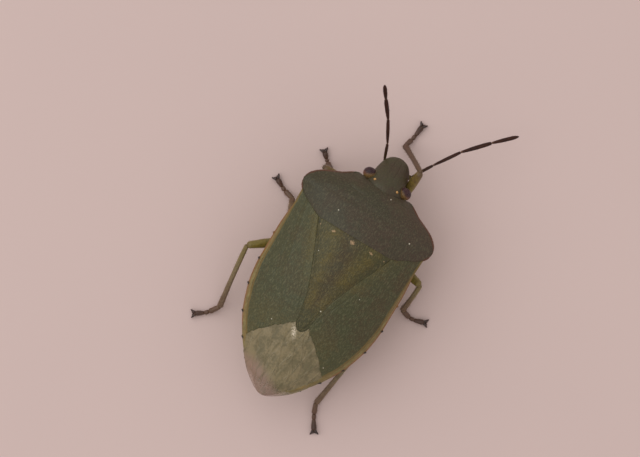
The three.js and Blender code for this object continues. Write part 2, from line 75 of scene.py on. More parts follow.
# Half width of the body, and the heights of its back, side edges and keel, from front to rear
WIDTH = smooth([
    (1.65, 1.57), (1.2, 2.45), (0.68, 3.55), (0.2, 4.0), (-0.15, 4.1), (-0.6, 3.98),
    (-3.5, 3.95), (-5.2, 3.94), (-6.3, 3.82), (-7.3, 3.55), (-8.15, 3.22), (-9.4, 2.48),
    (-10.3, 1.78), (-10.9, 1.25), (-11.4, 0.6), (-11.6, 0.2),
])
BACK = smooth([
    (1.65, 4.2), (0.7, 4.85), (-0.1, 5.22), (-1.9, 5.62), (-3.2, 5.62),
    (-5.2, 5.38), (-7.2, 4.95), (-9.2, 4.35), (-10.6, 3.95), (-11.6, 3.7),
])
EDGE = smooth([
    (1.65, 3.5), (0.7, 3.85), (-0.1, 4.1), (-1, 3.9), (-2.5, 3.68), (-7.2, 3.5), (-11.6, 3.3),
])
KEEL = smooth([
    (1.35, 1.95), (0.6, 1.6), (-0.5, 1.45), (-2.5, 1.4), (-4.5, 1.25), (-6.5, 1.3),
    (-8.5, 1.62), (-10, 2.2), (-10.85, 2.8),
])
CROWN = 2.1  # how flat the back is across: 2 is a parabola
BELLY = 2.2  # the same for the underside

# Shield plates: thickness, at the rim and how fast it grows inwards, the roll of the rims, how far
# rear rims slope down over how wide a band, and how far one plate tucks under the next
PLATE = 0.12
RIM_THICK = 0.03
RIM_SLOPE = 0.8
ROLL = 0.025
HEM = 0.034
HEM_WIDE = 0.16
FRONT_HEM = 0.11
TUCK = 0.11
TUCK_START = 0.01
TUCK_REACH = 0.09

# Quads across and along each plate, rows and columns of the trunk and the head
PRONOTUM_GRID = (340, 140)
SCUTELLUM_GRID = (170, 260)
CORIUM_GRID = (120, 320)
MEMBRANE_GRID = (220, 150)
TRUNK_GRID = (420, 200)
HEAD_GRID = (170, 200)

PRONOTUM_HALF = 4.1
PRONOTUM_FRONT = smooth([
    (0, 1.42), (0.9, 1.5), (1.56, 1.66), (2.5, 1.19), (3.5, 0.71), (3.9, 0.36), (4.05, 0.1),
    (4.1, -0.12),
])
PRONOTUM_REAR = smooth([
    (0, -1.62), (2.2, -1.6), (3, -1.27), (3.7, -0.88), (3.98, -0.6), (4.08, -0.35), (4.1, -0.12),
])
CALLUS = (1.25, 0.86)  # the smooth swelling on each side behind the head
SHOULDER = (3.55, -0.15)
SCUTELLUM_BASE = -1.4
SCUTELLUM_TIP = -7.52
SCUTELLUM_HALF = smooth([
    (-1.4, 2.42), (-1.9, 2.2), (-4.3, 1.15), (-5.4, 0.74), (-6.4, 0.52), (-7.1, 0.38),
    (-7.4, 0.2), (-7.52, 0),
])
DOT_ROW = -1.86  # the row of pale dots, and how far out its pairs lie
DOTS_OUT = (1.17, 2.0)
CORIUM_FRONT_IN = -1.3
CORIUM_FRONT_OUT = -0.45
CORIUM_REAR_IN = -7.12
CORIUM_REAR_OUT = -9.08
CORIUM_LAP = 0.18  # how far it reaches under the scutellum
BORDER = smooth([(-1, 0.12), (-5.1, 0.2), (-6.2, 0.25), (-9.1, 0.27)])

# Membranes: film thickness and rim, how deep the left one, on top, and the right one lie, the pale
# painted highlight on the left one, veins, root along the corium, and free margin, x outward
FILM = 0.03
FILM_ROLL = 0.012
MEMBRANE_SUNK = {-1: 0.04, 1: 0.07}
HIGHLIGHT_SPOT = (-0.22, -7.65)
VEINS = 6
FORKED_VEINS = (1, 2, 4)
VEIN_HIGH = 0.035
VEIN_WIDE = 0.03
MEMBRANE_ROOT_IN = (-0.3, -6.5)
MEMBRANE_ROOT_OUT = (2.5, -8.8)
MEMBRANE_MARGIN = [
    (-1.15, -9.1), (-1.2, -10.4), (-0.55, -11.3), (0.2, -11.55), (1.25, -10.9), (2.05, -10.02),
]

# Trunk: its ends, how far it is inset at the shoulders, how deep its skin lies under plates, wings
# and films, in its side strip and at its edge, and the belly's segments with the tooth at each
TRUNK_FRONT = 1.4
TRUNK_REAR = -10.85
BLUNT = 0.3
SHOULDER_INSET = 0.14
UNDER_PRONOTUM = 0.15
UNDER_WINGS = 0.3
UNDER_FILM = 0.2
STRIP_SUNK = 0.055
EDGE_SUNK = 0.12
FIRST_SEGMENT = -2.95
SEGMENT_ENDS = (-3.6, -5.2, -6.68, -8.15, -9.4, -10.35)
TOOTH = 0.07
PLEURA = (-0.05, -1.65)  # the seams between the thorax's side plates
GLAND = (2.0, -1.0)  # the opening of each scent gland

# Head, eyes and rostrum
HEAD_REAR = 1.3
HEAD_TIP = 3.5
HEAD_HALF = smooth([
    (1.3, 1.15), (1.62, 1.15), (1.95, 1.02), (2.3, 0.98), (2.7, 0.9), (3, 0.8), (3.25, 0.62),
    (3.42, 0.38), (3.5, 0.12),
])
HEAD_TOP = smooth([
    (1.3, 4.28), (1.62, 4.22), (2.1, 3.98), (2.6, 3.6), (3.1, 3.1), (3.4, 2.78), (3.5, 2.62),
])
HEAD_UNDER = smooth([(1.3, 2.2), (1.62, 2.2), (2.4, 2.15), (3, 2.2), (3.4, 2.35), (3.5, 2.5)])
HEAD_WAIST = 0.42
CLYPEUS = smooth([(2.0, 0.12), (2.6, 0.2), (3.2, 0.17), (3.5, 0.1)])
EYE = (1.11, 1.91, 3.3)
EYE_SIZE = (0.37, 0.35, 0.35)
OCELLUS = (0.7, 1.76)
OCELLUS_SIZE = (0.08, 0.075, 0.06)
ROSTRUM = [(0, 3.0, 2.2), (0, 2.3, 1.72), (0, 1.2, 1.27), (0, -0.2, 1.15), (0, -1.55, 1.1)]
ROSTRUM_RADII = (0.13, 0.115, 0.1, 0.08)

# Feelers: the joints between their five segments, the half thickness of each segment and of the
# cup at its root, how much a segment bows, and how far the root's olive reaches along each
FEELER_JOINTS = {
    "left": [
        (-0.6, 2.4, 2.35), (-0.76, 2.9, 2.45), (-1.11, 3.8, 3.2), (-1.77, 4.92, 4.35),
        (-2.43, 5.72, 5.6), (-2.88, 6.28, 6.75),
    ],
    "right": [
        (0.53, 2.52, 2.18), (0.98, 2.96, 1.78), (1.68, 4.12, 1.95), (2.61, 5.52, 2.45),
        (3.81, 6.83, 2.4), (4.92, 7.93, 2.3),
    ],
}
FEELER_RADII = (0.13, 0.085, 0.095, 0.115, 0.11)
FEELER_CUP = (0.15, 0.17, 0.16)
FEELER_BOW = 0.04
FEELER_ROOTS = ((1.0, 0.6), (0.25, 0.0), (0, 0), (0, 0), (0, 0))

# Legs: hip, end of the trochanter, knee, ankle, the joint in the foot, and its end
LEGS = {
    "front_left": [
        (-1.0, 0.7, 1.35), (-1.3, 0.72, 1.0), (-3.42, 0.92, 2.5), (-3.16, 1.1, 0.5),
        (-3.5, 1.35, 0.22), (-3.88, 1.72, 0.2),
    ],
    "front_right": [
        (1.0, 0.7, 1.35), (1.05, 0.95, 1.02), (1.27, 3.38, 3.4), (-0.18, 4.32, 0.45),
        (0.0, 4.95, 0.22), (0.08, 5.76, 0.2),
    ],
    "middle_left": [
        (-1.1, -1.2, 1.3), (-1.45, -1.3, 0.98), (-3.45, -2.9, 2.25), (-4.08, -1.45, 0.5),
        (-4.78, -1.26, 0.22), (-5.38, -0.94, 0.2),
    ],
    "middle_right": [
        (1.1, -1.2, 1.3), (1.45, -1.25, 0.98), (4.48, -1.95, 2.45), (4.42, -3.64, 0.5),
        (5.1, -3.85, 0.22), (5.85, -3.62, 0.2),
    ],
    "hind_left": [
        (-1.15, -2.2, 1.25), (-1.5, -2.45, 0.98), (-4.87, -4.95, 2.95), (-4.45, -8.75, 0.5),
        (-4.9, -9.42, 0.22), (-5.46, -9.8, 0.2),
    ],
    "hind_right": [
        (1.15, -2.2, 1.25), (1.4, -2.55, 0.98), (3.45, -6.6, 2.0), (2.95, -10.6, 0.5),
        (3.22, -11.3, 0.22), (3.66, -12.0, 0.2),
    ],
}

# Half thicknesses along each part of a leg, the grooves round its shin and their depth as a share
# of the thickness, how thigh and shin bow, and where the foot rests
COXA = (0.25, 0.29, 0.2)
TROCHANTER = (0.15, 0.185, 0.15)
FEMUR = (0.155, 0.235, 0.275, 0.26, 0.19)
KNEE = (0.1, 0.125, 0.11)
TIBIA = (0.135, 0.15, 0.146, 0.155, 0.18)
ANKLE = (0.12, 0.14, 0.11)
HEEL = (0.13, 0.145, 0.155)
INSTEP = (0.1, 0.12, 0.13)
TOE = (0.095, 0.125, 0.15, 0.16)
CLAW = (0.075, 0.07, 0.052, 0.02)
PAD = (0.06, 0.085, 0.07)
FLUTES = 4
FLUTE_DEPTH = 0.16
FEMUR_BOW = 0.05
TIBIA_BOW = 0.03
ANKLE_DROP = 0.06
FOOT_HEIGHTS = (0.14, 0.165)

# The place of the bug's own frame in the frame of the solids
scutellum_low, scutellum_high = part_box("scutellum")
HOME = np.array([
    (scutellum_low.x + scutellum_high.x) / 2 / MM,
    scutellum_low.y / MM - SCUTELLUM_TIP,
    0.0,
])


def mix(a, b, t):
    return a + (b - a) * t


def fade(t):
    t = np.clip(t, 0, 1)
    return t * t * (3 - 2 * t)


def past(value, start, reach):
    """0 up to a start and 1 from this reach beyond it; a negative reach goes the other way."""
    return fade((value - start) / reach)


def bump(distance, width):
    """1 in the middle of a ridge or spot, falling to 0 at about twice its width."""
    return np.exp(-((distance / width) ** 2))


def back(x, y):
    """Height of the back at (x, y)."""
    out = np.minimum(np.abs(x) / WIDTH(y), 1)
    return mix(BACK(y), EDGE(y), out**CROWN)


def slant(x, y):
    """How much deeper than flat a layer of the back is, measured straight down."""
    step, deepest = 0.02, 1.5
    dx = (back(x + step, y) - back(x - step, y)) / (2 * step)
    dy = (back(x, y + step) - back(x, y - step)) / (2 * step)
    return np.minimum(np.sqrt(1 + dx**2 + dy**2), deepest)


class Shape:
    """Points in millimetres, blocks of faces, and values at each point under their marks' names."""

    def __init__(self, points, faces, **marks):
        self.points = np.asarray(points, float)
        self.faces = [np.asarray(block, int) for block in faces]
        self.marks = {name: np.asarray(values, float) for name, values in marks.items()}
        if self.volume() < 0:
            self.faces = [block[:, ::-1] for block in self.faces]

    def volume(self):
        total = 0.0
        for block in self.faces:
            corners = self.points[block]
            for k in range(1, block.shape[1] - 1):
                turned = np.cross(corners[:, k], corners[:, k + 1])
                total += np.einsum("ij,ij->i", corners[:, 0], turned).sum()
        return total


def joined(shapes):
    """One shape of several; a mark that one of them lacks is 0 there."""
    names = sorted({name for shape in shapes for name in shape.marks})
    widths = {name: shape.marks[name].shape[1:] for shape in shapes for name in shape.marks}
    marks = {
        name: np.concatenate([
            shape.marks.get(name, np.zeros((len(shape.points), *widths[name]))) for shape in shapes
        ])
        for name in names
    }
    starts = np.cumsum([0] + [len(shape.points) for shape in shapes])
    faces = [block + start for shape, start in zip(shapes, starts) for block in shape.faces]
    whole = Shape(np.concatenate([shape.points for shape in shapes]), [], **marks)
    whole.faces = faces
    return whole


def mesh_of(name, shape):
    """A smooth mesh of a shape, in metres and in its place, with doubled points joined."""
    mesh = bpy.data.meshes.new(name)
    faces = [face for block in shape.faces for face in block.tolist()]
    mesh.from_pydata(((shape.points + HOME) * MM).tolist(), [], faces)
    for mark, values in shape.marks.items():
        kind, field = ("FLOAT_VECTOR", "vector") if values.ndim == 2 else ("FLOAT", "value")
        mesh.attributes.new(mark, kind, "POINT").data.foreach_set(field, values.ravel())
    editable = bmesh.new()
    editable.from_mesh(mesh)
    bmesh.ops.remove_doubles(editable, verts=editable.verts, dist=SAME_PLACE)
    editable.to_mesh(mesh)
    editable.free()
    mesh.shade_smooth()
    return mesh


def piece(name, source, finish, slot, *nodes):
    """A finished object from a shape or a mesh that rides on the bug and stands for these nodes."""
    mesh = mesh_of(name, source) if isinstance(source, Shape) else source
    mesh.name = name
    mesh.materials.clear()
    mesh.materials.append(finish)
    made = bpy.data.objects.new(name, mesh)
    bpy.context.scene.collection.objects.link(made)
    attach(made, "root")
    if nodes:
        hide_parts(*nodes)


def grid_faces(rows, columns, closed=False):
    """Quads between the points of a grid; closed joins the two ends of each row."""
    row = np.arange(rows - 1)[:, None] * columns
    column = np.arange(columns if closed else columns - 1)[None, :]
    after = (column + 1) % columns
    corners = [row + column, row + after, row + columns + after, row + columns + column]
    return np.stack(corners, -1).reshape(-1, 4)


def plate(across, along, place, relief, thick, roll=ROLL, **marks):
    """A thin shell with a rolled rim. place(s, t) gives x and y, relief(x, y, s, t) the height over
    the back, and each mark is a function of x, y, s and t. Its underside is the same grid."""
    s, t = np.meshgrid(np.linspace(0, 1, across + 1), np.linspace(0, 1, along + 1))
    x, y = place(s, t)
    steps_s = np.hypot(np.diff(x, axis=1), np.diff(y, axis=1))
    steps_t = np.hypot(np.diff(x, axis=0), np.diff(y, axis=0))
    from_left = np.pad(np.cumsum(steps_s, 1), ((0, 0), (1, 0)))
    from_top = np.pad(np.cumsum(steps_t, 0), ((1, 0), (0, 0)))
    rim = np.minimum.reduce([
        from_left, from_left[:, -1:] - from_left, from_top, from_top[-1:] - from_top,
    ])
    inside = np.clip(rim / roll, 0, 1)
    drop = roll * (1 - np.sqrt(1 - (1 - inside) ** 2))
    top = back(x, y) + relief(x, y, s, t)
    low = top - np.minimum(thick, RIM_THICK + rim * RIM_SLOPE) * slant(x, y) - roll
    upper = np.stack([x, y, top - drop], -1).reshape(-1, 3)
    lower = np.stack([x, y, np.minimum(low, top - drop)], -1).reshape(-1, 3)
    count = len(upper)
    above = grid_faces(along + 1, across + 1)
    below = above[:, ::-1] + count
    at = np.arange(count).reshape(along + 1, across + 1)
    loop = np.concatenate([at[0, :-1], at[:-1, -1], at[-1, :0:-1], at[:0:-1, 0]])
    after = np.roll(loop, -1)
    wall = np.stack([loop, loop + count, after + count, after], -1)
    values = {name: mark(x, y, s, t).ravel() for name, mark in marks.items()}
    both = {name: np.concatenate([value, value]) for name, value in values.items()}
    return Shape(np.concatenate([upper, lower]), [above, below, wall], **both)


def ring_grid(rings, **marks):
    """A closed surface of rings, with a point in the middle of each end."""
    rows, columns = rings.shape[:2]
    points = rings.reshape(-1, 3)
    ends = np.array([rings[0].mean(0), rings[-1].mean(0)])
    k = np.arange(columns)
    after = (k + 1) % columns
    last = (rows - 1) * columns
    first_cap = np.stack([np.full(columns, rows * columns), after, k], -1)
    last_cap = np.stack([np.full(columns, rows * columns + 1), last + k, last + after], -1)
    flat = {}
    for name, values in marks.items():
        values = np.asarray(values, float)
        along = values.reshape(rows * columns, *values.shape[2:])
        flat[name] = np.concatenate([along, [values[0].mean(0), values[-1].mean(0)]])
    faces = [grid_faces(rows, columns, closed=True), first_cap, last_cap]
    return Shape(np.concatenate([points, ends]), faces, **flat)


def frames_along(line):
    """The heading, side and top at each point of a line, carried along without a twist."""
    heading = np.gradient(line, axis=0)
    heading /= np.linalg.norm(heading, axis=1, keepdims=True)
    upright = np.array([0, 0, 1.0]) if abs(heading[0, 2]) < 0.9 else np.array([1.0, 0, 0])
    sides = []
    side = np.cross(heading[0], upright)
    for h in heading:
        side = side - h * (side @ h)
        side /= np.linalg.norm(side)
        sides.append(side)
    sides = np.array(sides)
    return heading, sides, np.cross(sides, heading)


def limb(line, radii, sides=18, caps=(1.0, 1.0), fluted=0.0, flat=1.0, steps=26, **marks):
    """A closed limb segment along a line, swelling through its radii, with rounded ends.
    caps gives how long each rounded end is, in radii, and fluted how deep its grooves are, as a
    share of the radius; a mark runs from one value to another."""
    line = np.asarray(line, float)
    lengths = np.concatenate([[0], np.cumsum(np.linalg.norm(np.diff(line, axis=0), axis=1))])
    total = lengths[-1]
    off_tip, joint_band = 0.04, 0.07
    t = (1 - np.cos(np.linspace(off_tip, math.pi - off_tip, steps))) / 2
    if len(line) > 2:
        curves = [smooth(list(zip(lengths, line[:, k]))) for k in range(3)]
        path = np.stack([curve(t * total) for curve in curves], -1)
    else:
        path = mix(line[0], line[1], t[:, None])
    swell = smooth([(k / (len(radii) - 1), r) for k, r in enumerate(radii)])(t)
    from_start = np.clip(t * total / (radii[0] * caps[0]), 0, 1)
    from_end = np.clip((1 - t) * total / (radii[-1] * caps[1]), 0, 1)
    rounding = np.sqrt(1 - (1 - from_start) ** 2) * np.sqrt(1 - (1 - from_end) ** 2)
    radius = swell * rounding
    heading, side, top = frames_along(path)
    turn = np.arange(sides) / sides * 2 * math.pi
    groove = 1 - fluted * np.maximum(np.cos(turn * FLUTES), 0) ** 3
    reach = radius[:, None] * groove[None, :]
    rings = (
        path[:, None, :]
        + side[:, None, :] * (reach * np.cos(turn))[..., None]
        + top[:, None, :] * (reach * np.sin(turn) * flat)[..., None]
    )
    shown = {
        name: np.repeat(mix(values[0], values[1], t)[:, None], sides, 1)
        for name, values in marks.items()
    }
    shown["heading"] = np.repeat(heading[:, None, :], sides, 1)
    near_end = np.maximum(bump(t * total, joint_band), bump((1 - t) * total, joint_band))
    shown["end"] = np.repeat(near_end[:, None], sides, 1)
    return ring_grid(rings, **shown)


def bowed(start, end, sag, steps=9):
    """Points of a line from start to end that bows by sag at its middle."""
    t = np.linspace(0, 1, steps)[:, None]
    start, end = np.array(start, float), np.array(end, float)
    return mix(start, end, t) + np.array(sag) * (4 * t * (1 - t))


def ellipsoid(centre, size, rows=14, columns=24):
    """A closed rounded lump."""
    off_pole = 0.06
    polar = np.linspace(off_pole, math.pi - off_pole, rows)[:, None]
    turn = np.arange(columns)[None, :] / columns * 2 * math.pi
    x = np.sin(polar) * np.cos(turn)
    y = np.sin(polar) * np.sin(turn)
    z = np.cos(polar) * np.ones_like(turn)
    return ring_grid(np.array(centre) + np.stack([x, y, z], -1) * np.array(size))


# Nodes of materials and of the trees that make shapes. The scale of a pattern is how many of its
# cells fit in a metre: 1000 is one to the millimetre.


def node(tree, kind, inputs=None, **settings):
    """A new node; inputs sets its sockets, by name or number, to a value or another node's output."""
    made = tree.nodes.new(kind)
    for key, value in settings.items():
        setattr(made, key, value)
    for key, value in (inputs or {}).items():
        if isinstance(value, bpy.types.NodeSocket):
            tree.links.new(value, made.inputs[key])
        else:
            made.inputs[key].default_value = value
    return made


def reckoned(tree, operation, a, b, clamp=False):
    return node(tree, "ShaderNodeMath", {0: a, 1: b}, operation=operation, use_clamp=clamp).outputs[0]


def plus(tree, a, b, clamp=False):
    return reckoned(tree, "ADD", a, b, clamp)


def minus(tree, a, b):
    return reckoned(tree, "SUBTRACT", a, b)


def times(tree, a, b, clamp=False):
    return reckoned(tree, "MULTIPLY", a, b, clamp)


def divided(tree, a, b):
    return reckoned(tree, "DIVIDE", a, b)


def ranged(tree, value, low, high, to_low=0.0, to_high=1.0):
    """value carried smoothly from one range to another, and held there."""
    inputs = {"Value": value, "From Min": low, "From Max": high, "To Min": to_low, "To Max": to_high}
    made = node(tree, "ShaderNodeMapRange", inputs, interpolation_type="SMOOTHSTEP")
    return made.outputs["Result"]


def blended(tree, factor, a, b):
    """Colour a where the factor is 0 and colour b where it is 1."""
    return node(tree, "ShaderNodeMix", {0: factor, 6: a, 7: b}, data_type="RGBA").outputs[2]


def marked(tree, name):
    """The value that a mesh carries under this mark's name."""
    return node(tree, "ShaderNodeAttribute", attribute_name=name).outputs["Fac"]


def laid(tree, colour, mark, over, strength=1.0):
    """A colour with another laid over it where the mesh carries a mark."""
    return blended(tree, times(tree, marked(tree, mark), strength), colour, tone(*over))


def object_place(tree):
    return node(tree, "ShaderNodeTexCoord").outputs["Object"]


def noise(tree, place, scale, detail=3.0, rough=0.55):
    inputs = {"Vector": place, "Scale": scale, "Detail": detail, "Roughness": rough}
    return node(tree, "ShaderNodeTexNoise", inputs).outputs["Fac"]


def tone(red, green, blue):
    """A colour given as it shows on a screen, 0 to 255, in linear values."""
    shown = np.array([red, green, blue]) / 255
    linear = np.where(shown <= 0.04045, shown / 12.92, ((shown + 0.055) / 1.055) ** 2.4)
    return (*linear.tolist(), 1.0)


def group(name, inputs, outputs):
    """An empty shader node group with named float inputs and outputs, and its two end nodes."""
    tree = bpy.data.node_groups.new(name, "ShaderNodeTree")
    for socket, value in inputs.items():
        made = tree.interface.new_socket(socket, in_out="INPUT", socket_type="NodeSocketFloat")
        made.default_value = value
    for socket in outputs:
        tree.interface.new_socket(socket, in_out="OUTPUT", socket_type="NodeSocketFloat")
    return tree, tree.nodes.new("NodeGroupInput").outputs, tree.nodes.new("NodeGroupOutput").inputs


def placed(tree, group_tree, **values):
    """A group's node in a material, with its own values."""
    made = tree.nodes.new("ShaderNodeGroup")
    made.node_tree = group_tree
    for name, value in values.items():
        socket = made.inputs[name.replace("_", " ").capitalize()]
        if isinstance(value, bpy.types.NodeSocket):
            tree.links.new(value, socket)
        else:
            socket.default_value = value
    return made


def mottle_group():
    """Broad cloudy patches, and small pale flecks drawn out along the body, which on the shield plates are
    painted glints.
    """
    tree, given, out = group(
        "cuticle mottle",
        {"Patch": 900.0, "Fleck": 15000.0, "Stretch": 3.2, "Amount": 0.4},
        ["Mottle", "Flecks"],
    )
    place = object_place(tree)
    patches = noise(tree, place, given["Patch"], detail=4.0, rough=0.6)
    finer = noise(tree, place, times(tree, given["Patch"], 6.0), detail=2.0)
    cloudy = plus(tree, patches, times(tree, minus(tree, finer, 0.5), 0.5))
    tree.links.new(ranged(tree, cloudy, 0.36, 0.66), out["Mottle"])
    parts = node(tree, "ShaderNodeSeparateXYZ", {0: place}).outputs
    along = divided(tree, parts[1], given["Stretch"])
    drawn = node(tree, "ShaderNodeCombineXYZ", {0: parts[0], 1: along, 2: parts[2]}).outputs[0]
    specks = noise(tree, drawn, given["Fleck"], detail=2.0, rough=0.5)
    flecks = ranged(tree, specks, 0.44, 0.72)
    tree.links.new(times(tree, flecks, given["Amount"]), out["Flecks"])
    return tree


def grain_group():
    """Height of the cuticle's fine grain: cells, and a softer wave under them."""
    tree, given, out = group(
        "cuticle grain", {"Cell": 30000.0, "Wave": 4000.0, "Cell share": 0.6}, ["Height"])
    place = object_place(tree)
    cells = node(tree, "ShaderNodeTexVoronoi", {"Vector": place, "Scale": given["Cell"]})
    wavy = times(tree, noise(tree, place, given["Wave"]), minus(tree, 1.0, given["Cell share"]))
    height = plus(tree, times(tree, cells.outputs["Distance"], given["Cell share"]), wavy)
    tree.links.new(height, out["Height"])
    return tree


def rim_group():
    """A coloured rim with a ragged inner line, from a distance to the edge."""
    tree, given, out = group("coloured rim", {"Distance": 0.0, "Width": 0.1, "Ragged": 0.5}, ["Mask"])
    uneven = minus(tree, noise(tree, object_place(tree), 2600.0), 0.5)
    wander = times(tree, uneven, given["Ragged"])
    reach = divided(tree, given["Distance"], given["Width"])
    tree.links.new(ranged(tree, plus(tree, reach, wander), 1.15, 0.45), out["Mask"])
    return tree


MOTTLE = mottle_group()
GRAIN = grain_group()
RIM = rim_group()


def material(name, coat=0.0, coat_roughness=0.2, specular=0.5):
    """An empty node material: its tree and its shader."""
    made = bpy.data.materials.new(name)
    made.use_nodes = True
    tree = made.node_tree
    shader = tree.nodes["Principled BSDF"]
    shader.inputs["Coat Weight"].default_value = coat
    shader.inputs["Coat Roughness"].default_value = coat_roughness
    shader.inputs["Specular IOR Level"].default_value = specular
    return made, tree, shader


def finished(tree, shader, colour, mottle, rough, spread, depth, strength=0.6, **grain):
    """Links the colour, a roughness that grows by spread where it is mottled, and the grain as a
    bump of this depth in millimetres."""
    tree.links.new(colour, shader.inputs["Base Color"])
    varied = plus(tree, times(tree, mottle.outputs["Mottle"], spread), rough)
    tree.links.new(varied, shader.inputs["Roughness"])
    height = placed(tree, GRAIN, **grain).outputs["Height"]
    raised = node(tree, "ShaderNodeBump", {"Height": height, "Distance": depth * MM, "Strength": strength})
    tree.links.new(raised.outputs["Normal"], shader.inputs["Normal"])


def rimmed(tree, colour, over, width, ragged, strength):
    """A colour with a rim laid over it along the edge that the side mark measures from."""
    edge = placed(tree, RIM, distance=marked(tree, "side"), width=width, ragged=ragged)
    return blended(tree, times(tree, edge.outputs["Mask"], strength), colour, tone(*over))


# Scales of small patterns: chips in pale dots, specks of dust, how their size varies, the painted highlight

CHIP_SCALE, DUST_SCALE, DUST_SIZE_SCALE, HIGHLIGHT_SCALE = 11000.0, 340.0, 500.0, 13000.0

# Colours, as they show on a screen, from 0 to 255

PALE_DOT, BLACK_DOT, DUST = (168, 136, 100), (20, 15, 12), (210, 200, 180)
FILM_PALE, FILM_DENSE, FILM_TAIL = (144, 127, 92), (114, 102, 70), (156, 126, 108)
# the third colour on the next line is a painted highlight on the left membrane
FILM_STREAK, FILM_VEIN, FILM_HIGHLIGHT = (94, 86, 52), (92, 80, 50), (212, 196, 172)
UNDER_PALE, UNDER_DARK, UNDER_FLECK = (126, 122, 60), (104, 102, 52), (160, 150, 92)
STRIP_PALE, STRIP_DARK, STRIP_RIM = (128, 104, 56), (110, 94, 52), (134, 86, 42)
BACK_SKIN, CREASE, SPOT = (92, 84, 58), (74, 62, 36), (26, 18, 14)
LEG_FLECK, LEG_JOINT = (66, 50, 30), (84, 60, 36)
FEELER_DARK, FEELER_BROWN, FEELER_ROOT = (46, 20, 12), (60, 30, 20), (98, 84, 40)
FEELER_JOINT, FEELER_FLECK = (126, 94, 76), (86, 60, 50)
EYE_DARK, EYE_PURPLE, EYE_ROSY = (62, 36, 40), (78, 46, 46), (136, 88, 68)
EYE_INNER, EYE_SEAM = (134, 102, 60), (24, 14, 14)


def shield_finish(name, green, brown, pit, fleck, rim, rim_width, ochre=None, patch=900.0, flecks=0.5):
    """Pitted cuticle: green that turns brown by mottling and by the plate's brown mark, which is partly
    its own brown and partly painted shade on the side away from the lamp, with pale flecks, mostly
    painted glints and partly a pale waxy bloom, a coloured rim, chipped pale dots and a few specks of dust."""
    made, tree, shader = material(name, coat=0.05, coat_roughness=0.35, specular=0.4)
    mottle = placed(tree, MOTTLE, patch=patch, amount=flecks)
    cloudy = mottle.outputs["Mottle"]
    shift = times(tree, minus(tree, cloudy, 0.5), 0.7)
    # the brown mark is partly the plate's own brown and partly painted shade on the side away from the lamp
    browned_and_shaded = plus(tree, marked(tree, "brown"), shift, clamp=True)
    colour = blended(tree, browned_and_shaded, tone(*green), tone(*brown))
    if ochre:
        share = times(tree, marked(tree, "ochre"), plus(tree, cloudy, 0.4), clamp=True)
        colour = blended(tree, share, colour, tone(*ochre))
    # pale flecks drawn along the body: mostly painted glints, partly a pale waxy bloom
    colour = blended(tree, mottle.outputs["Flecks"], colour, tone(*fleck))
    colour = laid(tree, colour, "pit", pit, strength=0.75)
    colour = rimmed(tree, colour, rim, rim_width, ragged=0.7, strength=0.9)
    place = object_place(tree)
    chips = noise(tree, place, CHIP_SCALE, detail=2.0)
    chipped = ranged(tree, chips, 0.38, 0.52, to_low=0.35, to_high=0.95)
    colour = blended(tree, times(tree, marked(tree, "pale"), chipped), colour, tone(*PALE_DOT))
    colour = laid(tree, colour, "black", BLACK_DOT)
    spread_out = {"Vector": place, "Scale": DUST_SCALE}
    specks = node(tree, "ShaderNodeTexVoronoi", spread_out, voronoi_dimensions="2D")
    uneven = times(tree, noise(tree, place, DUST_SIZE_SCALE, detail=1.0), 0.02)
    near = plus(tree, specks.outputs["Distance"], uneven)
    colour = blended(tree, ranged(tree, near, 0.024, 0.014), colour, tone(*DUST))
    finished(tree, shader, colour, mottle, rough=0.44, spread=0.12, depth=0.012, cell=26000.0, wave=5000.0)
    return made


def membrane_finish():
    """Clear smoky film, denser on its veins, with a small pale painted highlight."""
    made, tree, shader = material("membrane film", specular=0.6)
    mottle = placed(tree, MOTTLE, patch=1400.0, fleck=5000.0, amount=0.4)
    colour = blended(tree, mottle.outputs["Mottle"], tone(*FILM_PALE), tone(*FILM_DENSE))
    colour = laid(tree, colour, "tail", FILM_TAIL)
    colour = laid(tree, colour, "streak", FILM_STREAK, strength=0.4)
    colour = laid(tree, colour, "vein", FILM_VEIN, strength=0.4)
    # a pale painted highlight on the left membrane, broken up by noise and made less clear
    broken = ranged(tree, noise(tree, object_place(tree), HIGHLIGHT_SCALE), 0.4, 0.56)
    highlighted = times(tree, marked(tree, "scuff"), broken, clamp=True)
    colour = blended(tree, highlighted, colour, tone(*FILM_HIGHLIGHT))
    cover = plus(tree, times(tree, marked(tree, "vein"), 0.25), marked(tree, "dense"))
    cover = plus(tree, cover, times(tree, highlighted, 0.5), clamp=True)
    tree.links.new(cover, shader.inputs["Alpha"])
    finished(
        tree, shader, colour, mottle, rough=0.3, spread=0.15, depth=0.03, strength=0.5,
        cell=9000.0, wave=2600.0, cell_share=0.3)
    return made


def belly_finish():
    """Yellow-green underside; the side strip is olive with an orange rim and black corner dots."""
    made, tree, shader = material("belly cuticle", coat=0.1, specular=0.45)
    mottle = placed(tree, MOTTLE, patch=1100.0, fleck=7000.0, amount=0.35)
    cloudy = mottle.outputs["Mottle"]
    under = blended(tree, cloudy, tone(*UNDER_PALE), tone(*UNDER_DARK))
    strip = blended(tree, cloudy, tone(*STRIP_PALE), tone(*STRIP_DARK))
    colour = blended(tree, marked(tree, "strip"), under, strip)
    colour = laid(tree, colour, "dorsal", BACK_SKIN)
    colour = blended(tree, mottle.outputs["Flecks"], colour, tone(*UNDER_FLECK))
    colour = rimmed(tree, colour, STRIP_RIM, width=0.085, ragged=0.6, strength=0.8)
    colour = laid(tree, colour, "crease", CREASE, strength=0.45)
    colour = laid(tree, colour, "spot", SPOT)
    finished(tree, shader, colour, mottle, rough=0.38, spread=0.14, depth=0.025, cell=14000.0, wave=3500.0)
    return made


def ramp(tree, value, stops):
    """A colour that runs through stops of [place, colour] as the value goes from 0 to 1."""
    made = node(tree, "ShaderNodeValToRGB", {0: value})
    elements = made.color_ramp.elements
    while len(elements) < len(stops):
        elements.new(0.5)
    for element, (place, colour) in zip(elements, stops):
        element.position = place
        element.color = tone(*colour)
    return made.outputs["Color"]


